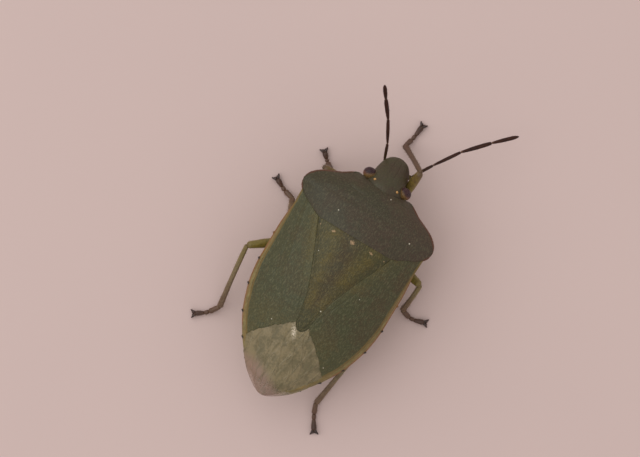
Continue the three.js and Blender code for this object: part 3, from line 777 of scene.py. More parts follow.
def leg_finish(name, stops):
    """Leg cuticle, yellow-green at the thigh and brown at the foot."""
    made, tree, shader = material(name, coat=0.12, specular=0.45)
    mottle = placed(tree, MOTTLE, patch=2200.0, fleck=12000.0, amount=0.45)
    wander = times(tree, minus(tree, mottle.outputs["Mottle"], 0.5), 0.06)
    colour = ramp(tree, plus(tree, marked(tree, "along"), wander, clamp=True), stops)
    colour = blended(tree, mottle.outputs["Flecks"], colour, tone(*LEG_FLECK))
    colour = laid(tree, colour, "end", LEG_JOINT, strength=0.35)
    finished(tree, shader, colour, mottle, rough=0.36, spread=0.15, depth=0.015, cell=22000.0, wave=6000.0)
    return made


def feeler_finish():
    """Red-black feelers with a pale ring at each joint."""
    made, tree, shader = material("feeler cuticle", specular=0.2)
    mottle = placed(tree, MOTTLE, patch=2600.0, fleck=16000.0, amount=0.35)
    colour = blended(tree, mottle.outputs["Mottle"], tone(*FEELER_DARK), tone(*FEELER_BROWN))
    colour = laid(tree, colour, "root", FEELER_ROOT)
    colour = laid(tree, colour, "joint", FEELER_JOINT)
    colour = blended(tree, mottle.outputs["Flecks"], colour, tone(*FEELER_FLECK))
    finished(tree, shader, colour, mottle, rough=0.45, spread=0.2, depth=0.012, cell=26000.0, wave=7000.0)
    return made


def eye_finish():
    """Dark purple facets, rosy towards the rear rim and olive-yellow next to the head."""
    made, tree, shader = material("eye facets", coat=0.12, coat_roughness=0.3)
    mottle = placed(tree, MOTTLE, patch=3000.0, fleck=20000.0, amount=0.3)
    colour = blended(tree, mottle.outputs["Mottle"], tone(*EYE_DARK), tone(*EYE_PURPLE))
    colour = laid(tree, colour, "rosy", EYE_ROSY)
    colour = laid(tree, colour, "inner", EYE_INNER)
    colour = laid(tree, colour, "seam", EYE_SEAM, strength=0.6)
    finished(
        tree, shader, colour, mottle, rough=0.22, spread=0.1, depth=0.002, strength=0.3,
        cell=40000.0, wave=9000.0)
    return made


def small_finish(name, dark, light, rough, coat=0.0):
    """Horn or lens: two near tones, fine grain and a little gloss."""
    made, tree, shader = material(name, coat=coat)
    mottle = placed(tree, MOTTLE, patch=4000.0, fleck=30000.0, amount=0.3)
    colour = blended(tree, mottle.outputs["Mottle"], tone(*dark), tone(*light))
    finished(
        tree, shader, colour, mottle, rough=rough, spread=0.12, depth=0.002, strength=0.4,
        cell=50000.0, wave=12000.0)
    return made


# Each leg's colours by how far along it they lie, from hip to toe
LEG_STOPS = [
    (0.0, (120, 112, 52)), (0.3, (128, 112, 44)), (0.48, (124, 106, 52)), (0.6, (132, 114, 78)),
    (0.7, (122, 98, 70)), (0.8, (104, 74, 52)), (0.9, (92, 60, 44)), (1.0, (66, 38, 28)),
]
FORE_STOPS = [
    (0.0, (120, 112, 52)), (0.3, (138, 118, 54)), (0.38, (118, 94, 48)), (0.46, (96, 70, 46)),
    (0.78, (92, 62, 46)), (0.9, (90, 58, 44)), (1.0, (66, 38, 28)),
]
# The brown colours below are partly the plates' own brown and partly painted shade on the side away from the
# lamp
# The fleck colours below are mostly painted glints, partly a pale waxy bloom
PRONOTUM_FINISH = shield_finish(
    "pronotum cuticle", green=(59, 54, 32), brown=(70, 54, 38), pit=(44, 38, 28),
    fleck=(104, 98, 72), rim=(92, 50, 30), rim_width=0.1, flecks=0.38)
HEAD_FINISH = shield_finish(
    "head cuticle", green=(68, 63, 38), brown=(70, 54, 38), pit=(44, 38, 26),
    fleck=(100, 92, 62), rim=(58, 42, 28), rim_width=0.05, ochre=(116, 108, 54), flecks=0.2)
SCUTELLUM_FINISH = shield_finish(
    "scutellum cuticle", green=(61, 58, 25), brown=(64, 50, 22), pit=(44, 38, 22),
    fleck=(116, 104, 64), rim=(62, 58, 32), rim_width=0.04, ochre=(94, 80, 26))
CORIUM_FINISH = shield_finish(
    "corium cuticle", green=(66, 65, 33), brown=(75, 59, 33), pit=(44, 46, 30),
    fleck=(122, 118, 84), rim=(116, 94, 44), rim_width=0.1, ochre=(92, 82, 38), patch=700.0, flecks=0.36)
MEMBRANE_FINISH = membrane_finish()
BELLY_FINISH = belly_finish()
LEG_FINISH = leg_finish("leg cuticle", LEG_STOPS)
FORE_FINISH = leg_finish("fore leg cuticle", FORE_STOPS)
FEELER_FINISH = feeler_finish()
EYE_FINISH = eye_finish()
CLAW_FINISH = small_finish("claw horn", (40, 24, 20), (70, 42, 32), 0.34, coat=0.15)
OCELLUS_FINISH = small_finish("ocellus lens", (176, 120, 50), (206, 156, 86), 0.15, coat=0.8)
BRISTLE_FINISH = small_finish("bristle horn", (88, 66, 44), (126, 100, 70), 0.4)
HAIR_FINISH = small_finish("feeler hair", (58, 28, 18), (80, 46, 32), 0.5)


# Trees that make shapes


def shape_tree(name, inputs):
    """An empty geometry tree with named inputs, ready to be ended by close_tree."""
    tree = bpy.data.node_groups.new(name, "GeometryNodeTree")
    for socket, (kind, value) in inputs.items():
        made = tree.interface.new_socket(socket, in_out="INPUT", socket_type=kind)
        if value is not None:
            made.default_value = value
    tree.interface.new_socket("Geometry", in_out="OUTPUT", socket_type="NodeSocketGeometry")
    return tree, tree.nodes.new("NodeGroupInput").outputs


def close_tree(tree, given, geometry):
    """Ends a tree: instances made real, and its finish set."""
    real = node(tree, "GeometryNodeRealizeInstances", {"Geometry": geometry}).outputs[0]
    dressed = node(tree, "GeometryNodeSetMaterial", {"Geometry": real, "Material": given["Finish"]})
    tree.links.new(dressed.outputs[0], tree.nodes.new("NodeGroupOutput").inputs["Geometry"])
    return tree


def carried(tree, name, kind="FLOAT"):
    """The values that a mesh carries under a mark's name, for a tree that makes shapes."""
    return node(tree, "GeometryNodeInputNamedAttribute", {"Name": name}, data_type=kind).outputs[0]


def kept(tree, geometry, name, value):
    """The geometry with a value kept on its points as a mark."""
    inputs = {"Geometry": geometry, "Name": name, "Value": value}
    made = node(tree, "GeometryNodeStoreNamedAttribute", inputs, data_type="FLOAT", domain="POINT")
    return made.outputs[0]


def scaled(tree, vector, amount):
    made = node(tree, "ShaderNodeVectorMath", {0: vector, "Scale": amount}, operation="SCALE")
    return made.outputs[0]


def pitted_tree():
    """Sinks small round pits into the upper side of a shell and keeps their depth as a mark."""
    tree, given = shape_tree("pitted shell", {
        "Geometry": ("NodeSocketGeometry", None),
        "Spacing": ("NodeSocketFloat", 0.1 * MM),
        "Pit width": ("NodeSocketFloat", 0.04 * MM),
        "Depth": ("NodeSocketFloat", 0.012 * MM),
        "Scatter": ("NodeSocketFloat", 0.9),
        "Finish": ("NodeSocketMaterial", None),
    })
    cells = node(tree, "ShaderNodeTexVoronoi", {
        "Vector": node(tree, "GeometryNodeInputPosition").outputs[0],
        "Scale": divided(tree, 1.0, given["Spacing"]),
        "Randomness": given["Scatter"],
    }, voronoi_dimensions="2D").outputs["Distance"]
    hollow = ranged(tree, cells, divided(tree, given["Pit width"], given["Spacing"]), 0.0)
    pit = times(tree, hollow, carried(tree, "pitted"))
    down = times(tree, pit, times(tree, given["Depth"], -1.0))
    offset = scaled(tree, node(tree, "GeometryNodeInputNormal").outputs["Normal"], down)
    shell = kept(tree, given["Geometry"], "pit", pit)
    sunk = node(tree, "GeometryNodeSetPosition", {"Geometry": shell, "Offset": offset}).outputs[0]
    return close_tree(tree, given, sunk)


def bristle_tree():
    """Short curved bristles that stand on a limb where it is marked hairy and lean to its tip."""
    tree, given = shape_tree("bristles", {
        "Geometry": ("NodeSocketGeometry", None),
        "Density": ("NodeSocketFloat", 6e7),
        "Length": ("NodeSocketFloat", 0.14 * MM),
        "Thickness": ("NodeSocketFloat", 0.006 * MM),
        "Lean": ("NodeSocketFloat", 1.0),
        "Seed": ("NodeSocketInt", 1),
        "Finish": ("NodeSocketMaterial", None),
    })
    scattered = node(tree, "GeometryNodeDistributePointsOnFaces", {
        "Mesh": given["Geometry"],
        "Density": times(tree, carried(tree, "hairy"), given["Density"]),
        "Seed": given["Seed"],
    })
    leaning = scaled(tree, carried(tree, "heading", "FLOAT_VECTOR"), given["Lean"])
    aims = {0: scattered.outputs["Normal"], 1: leaning}
    aimed = node(tree, "ShaderNodeVectorMath", aims, operation="ADD").outputs[0]
    turned = node(tree, "FunctionNodeAlignRotationToVector", {"Vector": aimed}, axis="Z").outputs[0]
    hair = node(tree, "GeometryNodeMeshCone", {
        "Vertices": 4, "Side Segments": 3, "Radius Top": 0.0,
        "Radius Bottom": given["Thickness"], "Depth": given["Length"],
    }).outputs["Mesh"]
    spot = node(tree, "GeometryNodeInputPosition").outputs[0]
    height = node(tree, "ShaderNodeSeparateXYZ", {0: spot}).outputs[2]
    curl = divided(tree, times(tree, height, height), times(tree, given["Length"], 3.0))
    bend = node(tree, "ShaderNodeCombineXYZ", {0: curl}).outputs[0]
    curved = node(tree, "GeometryNodeSetPosition", {"Geometry": hair, "Offset": bend}).outputs[0]
    size = node(
        tree, "FunctionNodeRandomValue", {2: 0.6, 3: 1.2, "Seed": given["Seed"]}, data_type="FLOAT")
    instances = node(tree, "GeometryNodeInstanceOnPoints", {
        "Points": scattered.outputs["Points"], "Instance": curved, "Rotation": turned,
        "Scale": size.outputs[1],
    }).outputs[0]
    return close_tree(tree, given, instances)


def facet_tree():
    """A rounded eye of many small raised facets."""
    tree, given = shape_tree("eye facets", {
        "Centre": ("NodeSocketVector", (0, 0, 0)),
        "Size": ("NodeSocketVector", (0.3 * MM, 0.3 * MM, 0.3 * MM)),
        "Facet rise": ("NodeSocketFloat", 0.02),
        "Facet top": ("NodeSocketFloat", 0.72),
        "Finish": ("NodeSocketMaterial", None),
    })
    ball = node(tree, "GeometryNodeMeshIcoSphere", {"Radius": 1.0, "Subdivisions": 5}).outputs["Mesh"]
    cells = node(tree, "GeometryNodeDualMesh", {"Mesh": ball}).outputs[0]
    raised = node(tree, "GeometryNodeExtrudeMesh", {
        "Mesh": cells, "Offset Scale": given["Facet rise"], "Individual": True,
    }, mode="FACES")
    crowned = node(tree, "GeometryNodeScaleElements", {
        "Geometry": raised.outputs["Mesh"], "Selection": raised.outputs["Top"],
        "Scale": given["Facet top"],
    }, domain="FACE").outputs[0]
    seamed = kept(tree, crowned, "seam", minus(tree, 1.0, raised.outputs["Top"]))
    set_down = node(tree, "GeometryNodeTransform", {
        "Geometry": seamed, "Translation": given["Centre"], "Scale": given["Size"],
    }).outputs[0]
    return close_tree(tree, given, set_down)


PITTED = pitted_tree()
BRISTLES = bristle_tree()
FACETS = facet_tree()


def grown(tree, name, source, **values):
    """The mesh that a tree makes, from a source mesh or from nothing but its own values."""
    carrier = bpy.data.objects.new(name, source or bpy.data.meshes.new(name))
    bpy.context.scene.collection.objects.link(carrier)
    shaper = carrier.modifiers.new("shape", "NODES")
    shaper.node_group = tree
    sockets = [item for item in tree.interface.items_tree if item.in_out == "INPUT"]
    identifiers = {socket.name: socket.identifier for socket in sockets}
    for key, value in values.items():
        shaper[identifiers[key.replace("_", " ").capitalize()]] = value
    depsgraph = bpy.context.evaluated_depsgraph_get()
    mesh = bpy.data.meshes.new_from_object(
        carrier.evaluated_get(depsgraph), preserve_all_data_layers=True, depsgraph=depsgraph)
    bpy.data.objects.remove(carrier)
    return mesh


def pitted_piece(name, shape, finish, slot, *nodes, spacing=0.1, pit_width=0.042, depth=0.014):
    """A shield plate with its pits sunk in."""
    mesh = grown(
        PITTED, name, mesh_of(name, shape),
        spacing=spacing * MM, pit_width=pit_width * MM, depth=depth * MM, finish=finish)
    piece(name, mesh, finish, slot, *nodes)


def hairy_piece(name, shape, finish, slot, density, length, thickness, lean, seed):
    """The bristles of a limb, density to the square metre."""
    mesh = grown(
        BRISTLES, name, mesh_of(name, shape), density=density, length=length * MM,
        thickness=thickness * MM, lean=lean, seed=seed, finish=finish)
    piece(name, mesh, finish, slot)


def wave(x, y, size, seed=0.0):
    """A gentle unevenness between -1 and 1 that repeats nowhere near."""
    a = np.sin((x * 1.3 + y * 0.7) / size + seed) + np.sin((y * 1.1 - x * 0.6) / size * 1.7 + seed * 2.3)
    b = np.sin((x * 0.9 - y * 1.4) / size * 2.9 + seed * 1.1 + a)
    return (a + b) / 3


# Shield plates


def under_pronotum(x, y):
    """How far a plate is sunk where the pronotum's rear edge lies over it."""
    return TUCK * past(y - PRONOTUM_REAR(np.abs(x)), TUCK_START, TUCK_REACH)


def pronotum():
    def place(s, t):
        x = PRONOTUM_HALF * np.sin((0.5 - s) * math.pi)
        y = mix(PRONOTUM_FRONT(np.abs(x)), PRONOTUM_REAR(np.abs(x)), t)
        return x, y

    def from_callus(x, y):
        return np.abs(x) - CALLUS[0], y - CALLUS[1] - 0.1 * np.abs(x)

    def callus(x, y):
        out, ahead = from_callus(x, y)
        return bump(out, 0.62) * bump(ahead, 0.2)

    def side(x, y, s, t):
        out = np.abs(x)
        length = PRONOTUM_FRONT(out) - PRONOTUM_REAR(out)
        from_front = t * length + past(out, 1.9, -0.35)
        from_rear = (1 - t) * length + past(out, 3.9, -0.35)
        return np.minimum(from_front, from_rear) * mix(1.0, 0.6, past(out, 3.3, 0.5))

    def relief(x, y, s, t):
        out = np.abs(x)
        from_front = PRONOTUM_FRONT(out) - y
        callus_out, callus_ahead = from_callus(x, y)
        collar = -0.015 * bump(from_front - 0.25, 0.06) * past(out, 1.5, -0.3)
        ring = -0.018 * bump(np.hypot(callus_out / 0.72, callus_ahead / 0.27) - 1, 0.16)
        margin = 0.035 * bump(from_front - 0.03, 0.07) * past(out, 1.6, 0.4)
        shoulder = 0.08 * bump(np.hypot(out - SHOULDER[0], y - SHOULDER[1]), 0.4)
        waist = -0.03 * bump(y - 0.15 + 0.02 * x**2, 0.18) * past(out, 3.2, -0.5)
        rear_hem = -HEM * past(y - PRONOTUM_REAR(out), HEM_WIDE, -HEM_WIDE)
        front_hem = -FRONT_HEM * past(from_front, 0.3, -0.3) * past(out, 1.75, -0.3)
        uneven = 0.045 * callus(x, y) + 0.008 * wave(x, y, 0.5)
        return collar + ring + margin + shoulder + waist + rear_hem + front_hem + uneven

    return plate(
        *PRONOTUM_GRID, place, relief, PLATE,
        pitted=lambda x, y, s, t: 1 - 0.85 * fade(callus(x, y) * 1.6),
        # brown mark: partly the plate's own brown, partly painted shade that grows towards the bug's right,
        # away from the lamp
        brown=lambda x, y, s, t: np.clip(0.45 + 0.13 * x - 0.05 * y, 0, 1),
        side=side,
    )


def scutellum():
    def place(s, t):
        y = mix(SCUTELLUM_BASE, SCUTELLUM_TIP, np.sin(t * math.pi / 2))
        return SCUTELLUM_HALF(y) * (1 - 2 * s), y

    def relief(x, y, s, t):
        inside = SCUTELLUM_HALF(y) - np.abs(x)
        disc = 0.07 * fade(inside / 0.6) * past(y, -1.7, -0.8) * past(y, -5.6, 2.0)
        rim = -0.03 * bump(inside - 0.14, 0.06) * past(y, -2.2, -0.6)
        waist = -0.05 * bump(y + 5.2, 0.5) * bump(x, 0.5)
        hem = -HEM * past(inside, HEM_WIDE, -HEM_WIDE)
        uneven = 0.015 * dots(x, y) + 0.008 * wave(x, y, 0.45, 2.0)
        return disc + rim + waist + hem + uneven - under_pronotum(x, y)

    def dots(x, y):
        """The row of pale dots: one in the middle, a drawn-out pair and two small outer ones."""
        ragged = 1 + 0.45 * wave(x, y, 0.035, 1.0)
        ahead = y - DOT_ROW
        pair_out, small_out = (np.abs(x) - place for place in DOTS_OUT)
        middle = bump(np.hypot(x / 0.2, (ahead + 0.05 * x) / 0.15) * ragged, 0.85) ** 2
        pair = bump(np.hypot(pair_out / 0.2, (ahead - 0.02 + 0.3 * pair_out) / 0.08) * ragged, 0.8) ** 2
        small = bump(np.hypot(small_out / 0.08, ahead / 0.06), 0.8) ** 2
        return np.clip(1.5 * (middle + 0.9 * pair + 0.6 * small), 0, 1)

    def ochre(x, y, s, t):
        half = SCUTELLUM_HALF(y)
        band = bump(np.abs(x) - 0.55 * half, 0.16 + 0.2 * half)
        return 0.6 * band * past(y, -7.0, 1.5)

    def black(x, y, s, t):
        return 0.6 * fade(1.5 * bump(np.hypot(np.abs(x) - 2.1, y - DOT_ROW - 0.08), 0.05))

    return plate(
        *SCUTELLUM_GRID, place, relief, PLATE,
        pitted=lambda x, y, s, t: 1 - dots(x, y),
        pale=lambda x, y, s, t: past(dots(x, y), 0.3, 0.4),
        black=black,
        # brown mark: the band down the middle is the plate's own brown; the 0.1 * x term is painted shade
        # towards the bug's right, away from the lamp
        brown=lambda x, y, s, t: np.clip(0.9 * bump(x, 0.9) * past(y, -7.2, 2.5) + 0.1 * x, 0, 1),
        ochre=ochre,
        side=lambda x, y, s, t: SCUTELLUM_HALF(y) - np.abs(x),
    )


def ragged_edge(s, side):
    """How far forward the corium's rear edge lies of a straight line, s from the scutellum outwards."""
    return 0.13 * np.sin(s * math.pi) + 0.035 * np.sin(s * 19 + side) + 0.02 * np.sin(s * 43)


def behind_corium(x, y):
    """How far a place lies behind the corium or the scutellum's tip that covers it in front."""
    inner = SCUTELLUM_HALF(CORIUM_REAR_IN)
    outer = WIDTH(CORIUM_REAR_OUT) - BORDER(CORIUM_REAR_OUT)
    s = np.clip((np.abs(x) - inner) / (outer - inner), 0, 1)
    edge = mix(CORIUM_REAR_IN, CORIUM_REAR_OUT, s) + ragged_edge(s, np.sign(x))
    return np.where(np.abs(x) < SCUTELLUM_HALF(y), SCUTELLUM_TIP, edge) - y


def corium(side):
    def place(s, t):
        in_y = mix(CORIUM_FRONT_IN, CORIUM_REAR_IN, t)
        out_y = mix(CORIUM_FRONT_OUT, CORIUM_REAR_OUT, t)
        in_x = SCUTELLUM_HALF(in_y) - CORIUM_LAP * (1 - t**6)
        out_x = WIDTH(out_y) - BORDER(out_y)
        return side * mix(in_x, out_x, s), mix(in_y, out_y, s) + t**10 * ragged_edge(s, side)

    def relief(x, y, s, t):
        length = WIDTH(y) - SCUTELLUM_HALF(y)
        split = past(t, 0.55, 0.3)
        from_vein = s - 0.62 + 0.16 * t
        clavus = -0.022 * bump((s - 0.3 * (1 - t) ** 0.8 - 0.02) * length, 0.045) * past(t, 0.96, -0.08)
        main = 0.025 * bump((from_vein + 0.1 * split) * length, 0.08)
        fork = 0.02 * split * bump((from_vein - 0.16 * split) * length, 0.08)
        furrow = -0.015 * bump((s - 0.74 + 0.1 * t) * length, 0.07) * past(t, 0.8, -0.2)
        costa = 0.02 * bump((1 - s) * length - 0.07, 0.08)
        beside_scutellum = past(SCUTELLUM_HALF(y) - np.abs(x), TUCK_START, TUCK_REACH)
        tucked = TUCK * beside_scutellum * past(y, -7.6, 0.3) + under_pronotum(x, y)
        return clavus + main + fork + furrow + costa + 0.01 * wave(x, y, 0.4, side) - tucked

    def ochre(x, y, s, t):
        beside = 0.55 * past(np.abs(x) - SCUTELLUM_HALF(y), 0.9, -0.9) * past(y, -6.0, 2.5)
        return beside + 0.3 * past(y, -6.0, -2.0)

    return plate(
        *CORIUM_GRID, place, relief, PLATE,
        pitted=lambda x, y, s, t: 1 - 0.8 * past(s, 0.95, 0.04),
        ochre=ochre,
        # brown mark: partly the wing's own brown; the x term is painted shade towards the bug's right, away
        # from the lamp
        brown=lambda x, y, s, t: np.clip(0.25 + 0.06 * x + 0.05 * (y + 4), 0, 1),
        side=lambda x, y, s, t: (1 - s) * (WIDTH(y) - SCUTELLUM_HALF(y)),
    )


def curve_through(points, s):
    """Places along a smooth curve through points, as s goes from 0 to 1."""
    points = np.array(points, float)
    spans = len(points) - 1
    at = np.clip(s, 0, 1) * spans
    i = np.minimum(at.astype(int), spans - 1)
    t = (at - i)[..., None]
    p0, p1 = points[np.maximum(i - 1, 0)], points[i]
    p2, p3 = points[i + 1], points[np.minimum(i + 2, spans)]
    v0, v1 = (p2 - p0) / 2, (p3 - p1) / 2
    ends = (2 * t**3 - 3 * t**2 + 1) * p1 + (3 * t**2 - 2 * t**3) * p2
    return ends + (t**3 - 2 * t**2 + t) * v0 + (t**3 - t**2) * v1


def membrane(side):
    def place(s, t):
        margin = curve_through(MEMBRANE_MARGIN, s)
        x = mix(mix(MEMBRANE_ROOT_IN[0], MEMBRANE_ROOT_OUT[0], s), margin[..., 0], t)
        y = mix(mix(MEMBRANE_ROOT_IN[1], MEMBRANE_ROOT_OUT[1], s), margin[..., 1], t)
        return side * x, y

    def vein(x, y, s, t):
        crest = np.zeros_like(x)
        spread = 1.2 + 2.4 * t
        reach = past(t, 0.94, -0.1)
        for k in range(VEINS):
            wander = 0.02 * np.sin(t * 5 + k * 1.7) + 0.008 * np.sin(t * 17 + k * 4.1)
            fork = 0.045 * past(t, 0.45 + 0.1 * (k % 2), 0.5) * (k in FORKED_VEINS)
            middle = (k + 0.5) / VEINS + wander
            for turn in (-1, 1):
                near = bump((s - middle - turn * fork) * spread, VEIN_WIDE)
                crest = np.maximum(crest, reach * near)
        return crest

    def relief(x, y, s, t):
        tucked = 0.14 * past(behind_corium(x, y), -0.02, -0.12)
        creased = 0.036 * wave(x * 1.2 + y * 0.5, y * 0.45 - x * 0.6, 0.27, side)
        film = VEIN_HIGH * vein(x, y, s, t) + creased * fade(t * 3) * (1 - 0.6 * t)
        return film - MEMBRANE_SUNK[side] - tucked

    def streak(x, y, s, t):
        return fade(wave(x * 1.5 + y * 0.5, y * 0.6 - x * 0.75, 0.26, 4.0) * 1.6 - 0.3)

    # a painted highlight: a pale patch on the left membrane behind its root
    def scuff(x, y, s, t):
        behind = y - HIGHLIGHT_SPOT[1]
        return 1.3 * (side < 0) * bump(np.hypot(x - HIGHLIGHT_SPOT[0] + 0.45 * behind, behind / 2.2), 0.13)

    return plate(
        *MEMBRANE_GRID, place, relief, FILM, roll=FILM_ROLL,
        vein=vein,
        dense=lambda x, y, s, t: 0.82 - 0.36 * past(y, -10.3, -0.9),
        tail=lambda x, y, s, t: past(-y - 0.55 * np.maximum(x + 0.2, -0.8), 10.15, 0.8),
        streak=streak,
        scuff=scuff,
    )


# Trunk: one skin from the neck to the tail


def rounded(t, much):
    """1 up to t = 0, then falling like the edge of a coin until t is 1."""
    return np.sqrt(1 - much * np.clip(t, 0, 1) ** 2)


def trunk():
    rows, columns = TRUNK_GRID
    y = np.linspace(TRUNK_FRONT, TRUNK_REAR, rows)[:, None]
    turn = (np.arange(columns)[None, :] + 0.5) / columns * 2 * math.pi
    upper = np.sin(turn) > 0

    # Its outline, the distance in from its side edge, and the strip that shows beside the wings
    inset = mix(SHOULDER_INSET, 0.0, past(y, -1.2, -2.0))
    front = rounded((y - TRUNK_FRONT + BLUNT) / BLUNT, 0.3)
    rear = rounded((TRUNK_REAR + BLUNT - y) / BLUNT, 0.75)
    plain = (WIDTH(y) - inset) * front * rear
    teeth = sum(bump(y - end - 0.02, 0.06) for end in SEGMENT_ENDS)
    half = plain + TOOTH * teeth * past(y, -3.2, -0.3)
    x = half * np.cos(turn)
    out = np.abs(x) / half
    side = np.maximum(plain - np.abs(x), 0)
    strip = past(side, BORDER(y) + 0.08, -0.08) * past(y, -1.0, -0.8)

    # How deep the skin lies under plates, wings and films, and level with the back in its strip
    deep = mix(UNDER_WINGS, UNDER_PRONOTUM, past(y, -1.2, 0.8))
    deep = mix(deep, UNDER_FILM, past(y, -7.4, -0.6)) * slant(x, y)
    beside_wings = np.maximum(strip, past(side, 0.35, -0.2) * past(y, -2.0, -1.0))
    depth = mix(deep, STRIP_SUNK, beside_wings)
    edge = back(half, y) - EDGE_SUNK
    high = mix(back(x, y) - depth, edge, past(side, 0.1, -0.1))
    low = np.minimum(mix(KEEL(y), edge, out**BELLY), high - 0.4 * (1 - out**4))

    # Folds between the belly's segments, plates and hip sockets of the thorax, glands and air holes
    bow = 0.3 * (1 - out**2)
    creases = sum(bump(y - end - bow, 0.045) for end in SEGMENT_ENDS)
    fold = creases * past(y, -10.6, 0.2) * (1 - 0.6 * strip)
    pleura = sum(bump(y - place - 0.12 * np.abs(x), 0.05) for place in PLEURA)
    pleura = pleura * past(np.abs(x), 1.3, 0.3)
    hips = np.array([stations[0] for stations in LEGS.values()])
    collars = sum(bump(np.hypot(x - hip[0], y - hip[1]) - 0.42, 0.12) for hip in hips)
    gland_out = np.abs(x) - GLAND[0]
    gland = bump(gland_out - 0.3 * (y - GLAND[1]), 0.35) * bump(y - GLAND[1] - 0.15 * gland_out, 0.06)
    slit = bump(x, 0.03) * past(y, -9.9, -0.2)
    starts = (FIRST_SEGMENT,) + SEGMENT_ENDS
    holes = sum(
        bump(np.hypot(np.abs(x) - 0.8 * half, y - mix(start, end, 0.4)), 0.055)
        for start, end in zip(starts, SEGMENT_ENDS)
    )
    groove = bump(x, 0.17) * past(y, -1.9, 0.3)
    uneven = 0.012 * wave(x, y, 0.35, 3.0) * (1 - out**6)
    low = low + 0.025 * fold * (1 + 0.5 * wave(x, y, 0.5)) + uneven
    low = low + 0.05 * pleura + 0.14 * groove - 0.11 * collars - 0.05 * gland + 0.05 * slit + 0.03 * holes
    high = high - 0.012 * creases * strip

    corners = np.clip(1.7 * sum(bump(np.hypot(side / 0.8, y - end), 0.065) for end in SEGMENT_ENDS[1:]), 0, 1)
    return ring_grid(
        np.stack([x, np.broadcast_to(y, x.shape), np.where(upper, high, low)], -1),
        side=side + past(y, -0.95, 0.25) + 0.5 * past(y, -8.7, -0.8),
        strip=strip,
        dorsal=upper & (side > 0.3),
        crease=np.clip(creases * np.where(upper, 0.15, 0.8) + (pleura + slit) * ~upper, 0, 1),
        spot=np.maximum(corners, 0.7 * np.clip(1.5 * holes, 0, 1) * ~upper),
    )


# Head


def head():
    rows, columns = HEAD_GRID
    y = mix(HEAD_REAR, HEAD_TIP, np.sin(np.linspace(0, math.pi / 2, rows)))[:, None]
    turn = (np.arange(columns)[None, :] + 0.5) / columns * 2 * math.pi
    half = HEAD_HALF(y)
    top, low = HEAD_TOP(y), HEAD_UNDER(y)
    waist = mix(low, top, HEAD_WAIST)
    x = half * np.cos(turn)
    out = np.abs(x)
    up = np.sin(turn)
    upper = up > 0
    z = waist + up * np.where(upper, top - waist, waist - low)
    furrow = bump(out - CLYPEUS(y), 0.035) * past(y, 2.05, 0.25)
    brow = bump(out - 0.42 + 0.25 * (y - 1.8), 0.05) * bump(y - 1.95, 0.25)
    margin = bump(half - out - 0.03, 0.05) * past(y, 2.3, 0.3) * past(y, 3.4, -0.1)
    cheek = bump(out - 0.2, 0.05) * past(y, 2.1, 0.3) * past(y, 3.3, -0.2)
    z = z + upper * (-0.045 * furrow - 0.025 * brow + 0.03 * margin + 0.006 * wave(x, y, 0.3))
    z = z - ~upper * 0.09 * cheek
    from_eye = np.hypot(np.hypot(out - EYE[0], y - EYE[1]), z - EYE[2])
    skull = ring_grid(
        np.stack([x, np.broadcast_to(y, x.shape), z], -1),
        ochre=past(z, waist + 0.05, -0.4),
        pitted=upper * (1 - 0.7 * furrow) * past(z, 2.6, 0.4),
        # brown mark: partly the head's own brown, partly painted shade towards its right, away from the lamp
        brown=np.clip(0.5 + 0.25 * x, 0, 1),
        side=mix(1.0, np.abs(z - waist) * 0.6, past(y, 2.4, 0.3)),
        pale=0.25 * bump(from_eye - 0.36, 0.05),
    )
    cups = []
    for joints in FEELER_JOINTS.values():
        root = np.array(joints[0])
        line = [root - (0, 0.3, -0.12), root + (np.sign(root[0]) * 0.03, 0.12, 0)]
        cups.append(limb(line, FEELER_CUP, caps=(1, 0.5), steps=16, brown=(0.4, 0.4), side=(1, 1)))
    return joined([skull, *cups])


def head_top(x, y):
    """Height of the head's upper side."""
    half, top, low = HEAD_HALF(y), HEAD_TOP(y), HEAD_UNDER(y)
    waist = mix(low, top, HEAD_WAIST)
    return waist + np.sqrt(1 - (x / half) ** 2) * (top - waist)


def rostrum():
    parts = []
    for k, radius in enumerate(ROSTRUM_RADII):
        last = k == len(ROSTRUM_RADII) - 1
        swell = (radius, radius * 1.05, radius * (0.35 if last else 0.95))
        line = bowed(ROSTRUM[k], ROSTRUM[k + 1], (0, 0, 0))
        parts.append(limb(line, swell, strip=(0.3, 0.5), spot=(0, 0.9 if last else 0.1), side=(1, 1)))
    return joined(parts)


def eye(side):
    centre = (np.array([side * EYE[0], EYE[1], EYE[2]]) + HOME) * MM
    size = np.array(EYE_SIZE) * MM
    mesh = grown(FACETS, f"eye_{side}", None, centre=tuple(centre), size=tuple(size), finish=EYE_FINISH)
    points = np.empty(len(mesh.vertices) * 3)
    mesh.vertices.foreach_get("co", points)
    out, ahead, up = ((points.reshape(-1, 3) - centre) / size).T
    rosy = fade((0.3 - ahead - 0.25 * up) / 0.6)
    inner = fade((0.15 - ahead - 0.6 * side * out) / 0.5) * past(up, -0.1, 0.4)
    for name, values in (("rosy", rosy), ("inner", inner)):
        mesh.attributes.new(name, "FLOAT", "POINT").data.foreach_set("value", values)
    return mesh


# Limbs


def feeler(joints):
    parts = []
    for k, radius in enumerate(FEELER_RADII):
        start, end = np.array(joints[k], float), np.array(joints[k + 1], float)
        last = k == len(FEELER_RADII) - 1
        swell = (radius * 0.55, radius * 0.85, radius, radius, radius * (0.4 if last else 0.8))
        part = limb(
            bowed(start, end, (0, 0, FEELER_BOW if k else 0)), swell,
            sides=16, caps=(0.6, 1.6 if last else 0.7), steps=34,
            root=FEELER_ROOTS[k], hairy=(0.25 + 0.15 * k, 0.3 + 0.17 * k),
        )
        from_start = np.linalg.norm(part.points - start, axis=1)
        part.marks["joint"] = 0.85 * past(from_start, 0.16, -0.1) * (k > 0)
        parts.append(part)
    return joined(parts)


def foot_line(stations):
    """The foot's own line, lowered so that its pads rest on the floor."""
    ankle, joint, end = (np.array(place, float) for place in stations[3:])
    ankle[2] -= ANKLE_DROP
    joint[2], end[2] = FOOT_HEIGHTS
    return ankle, joint, end


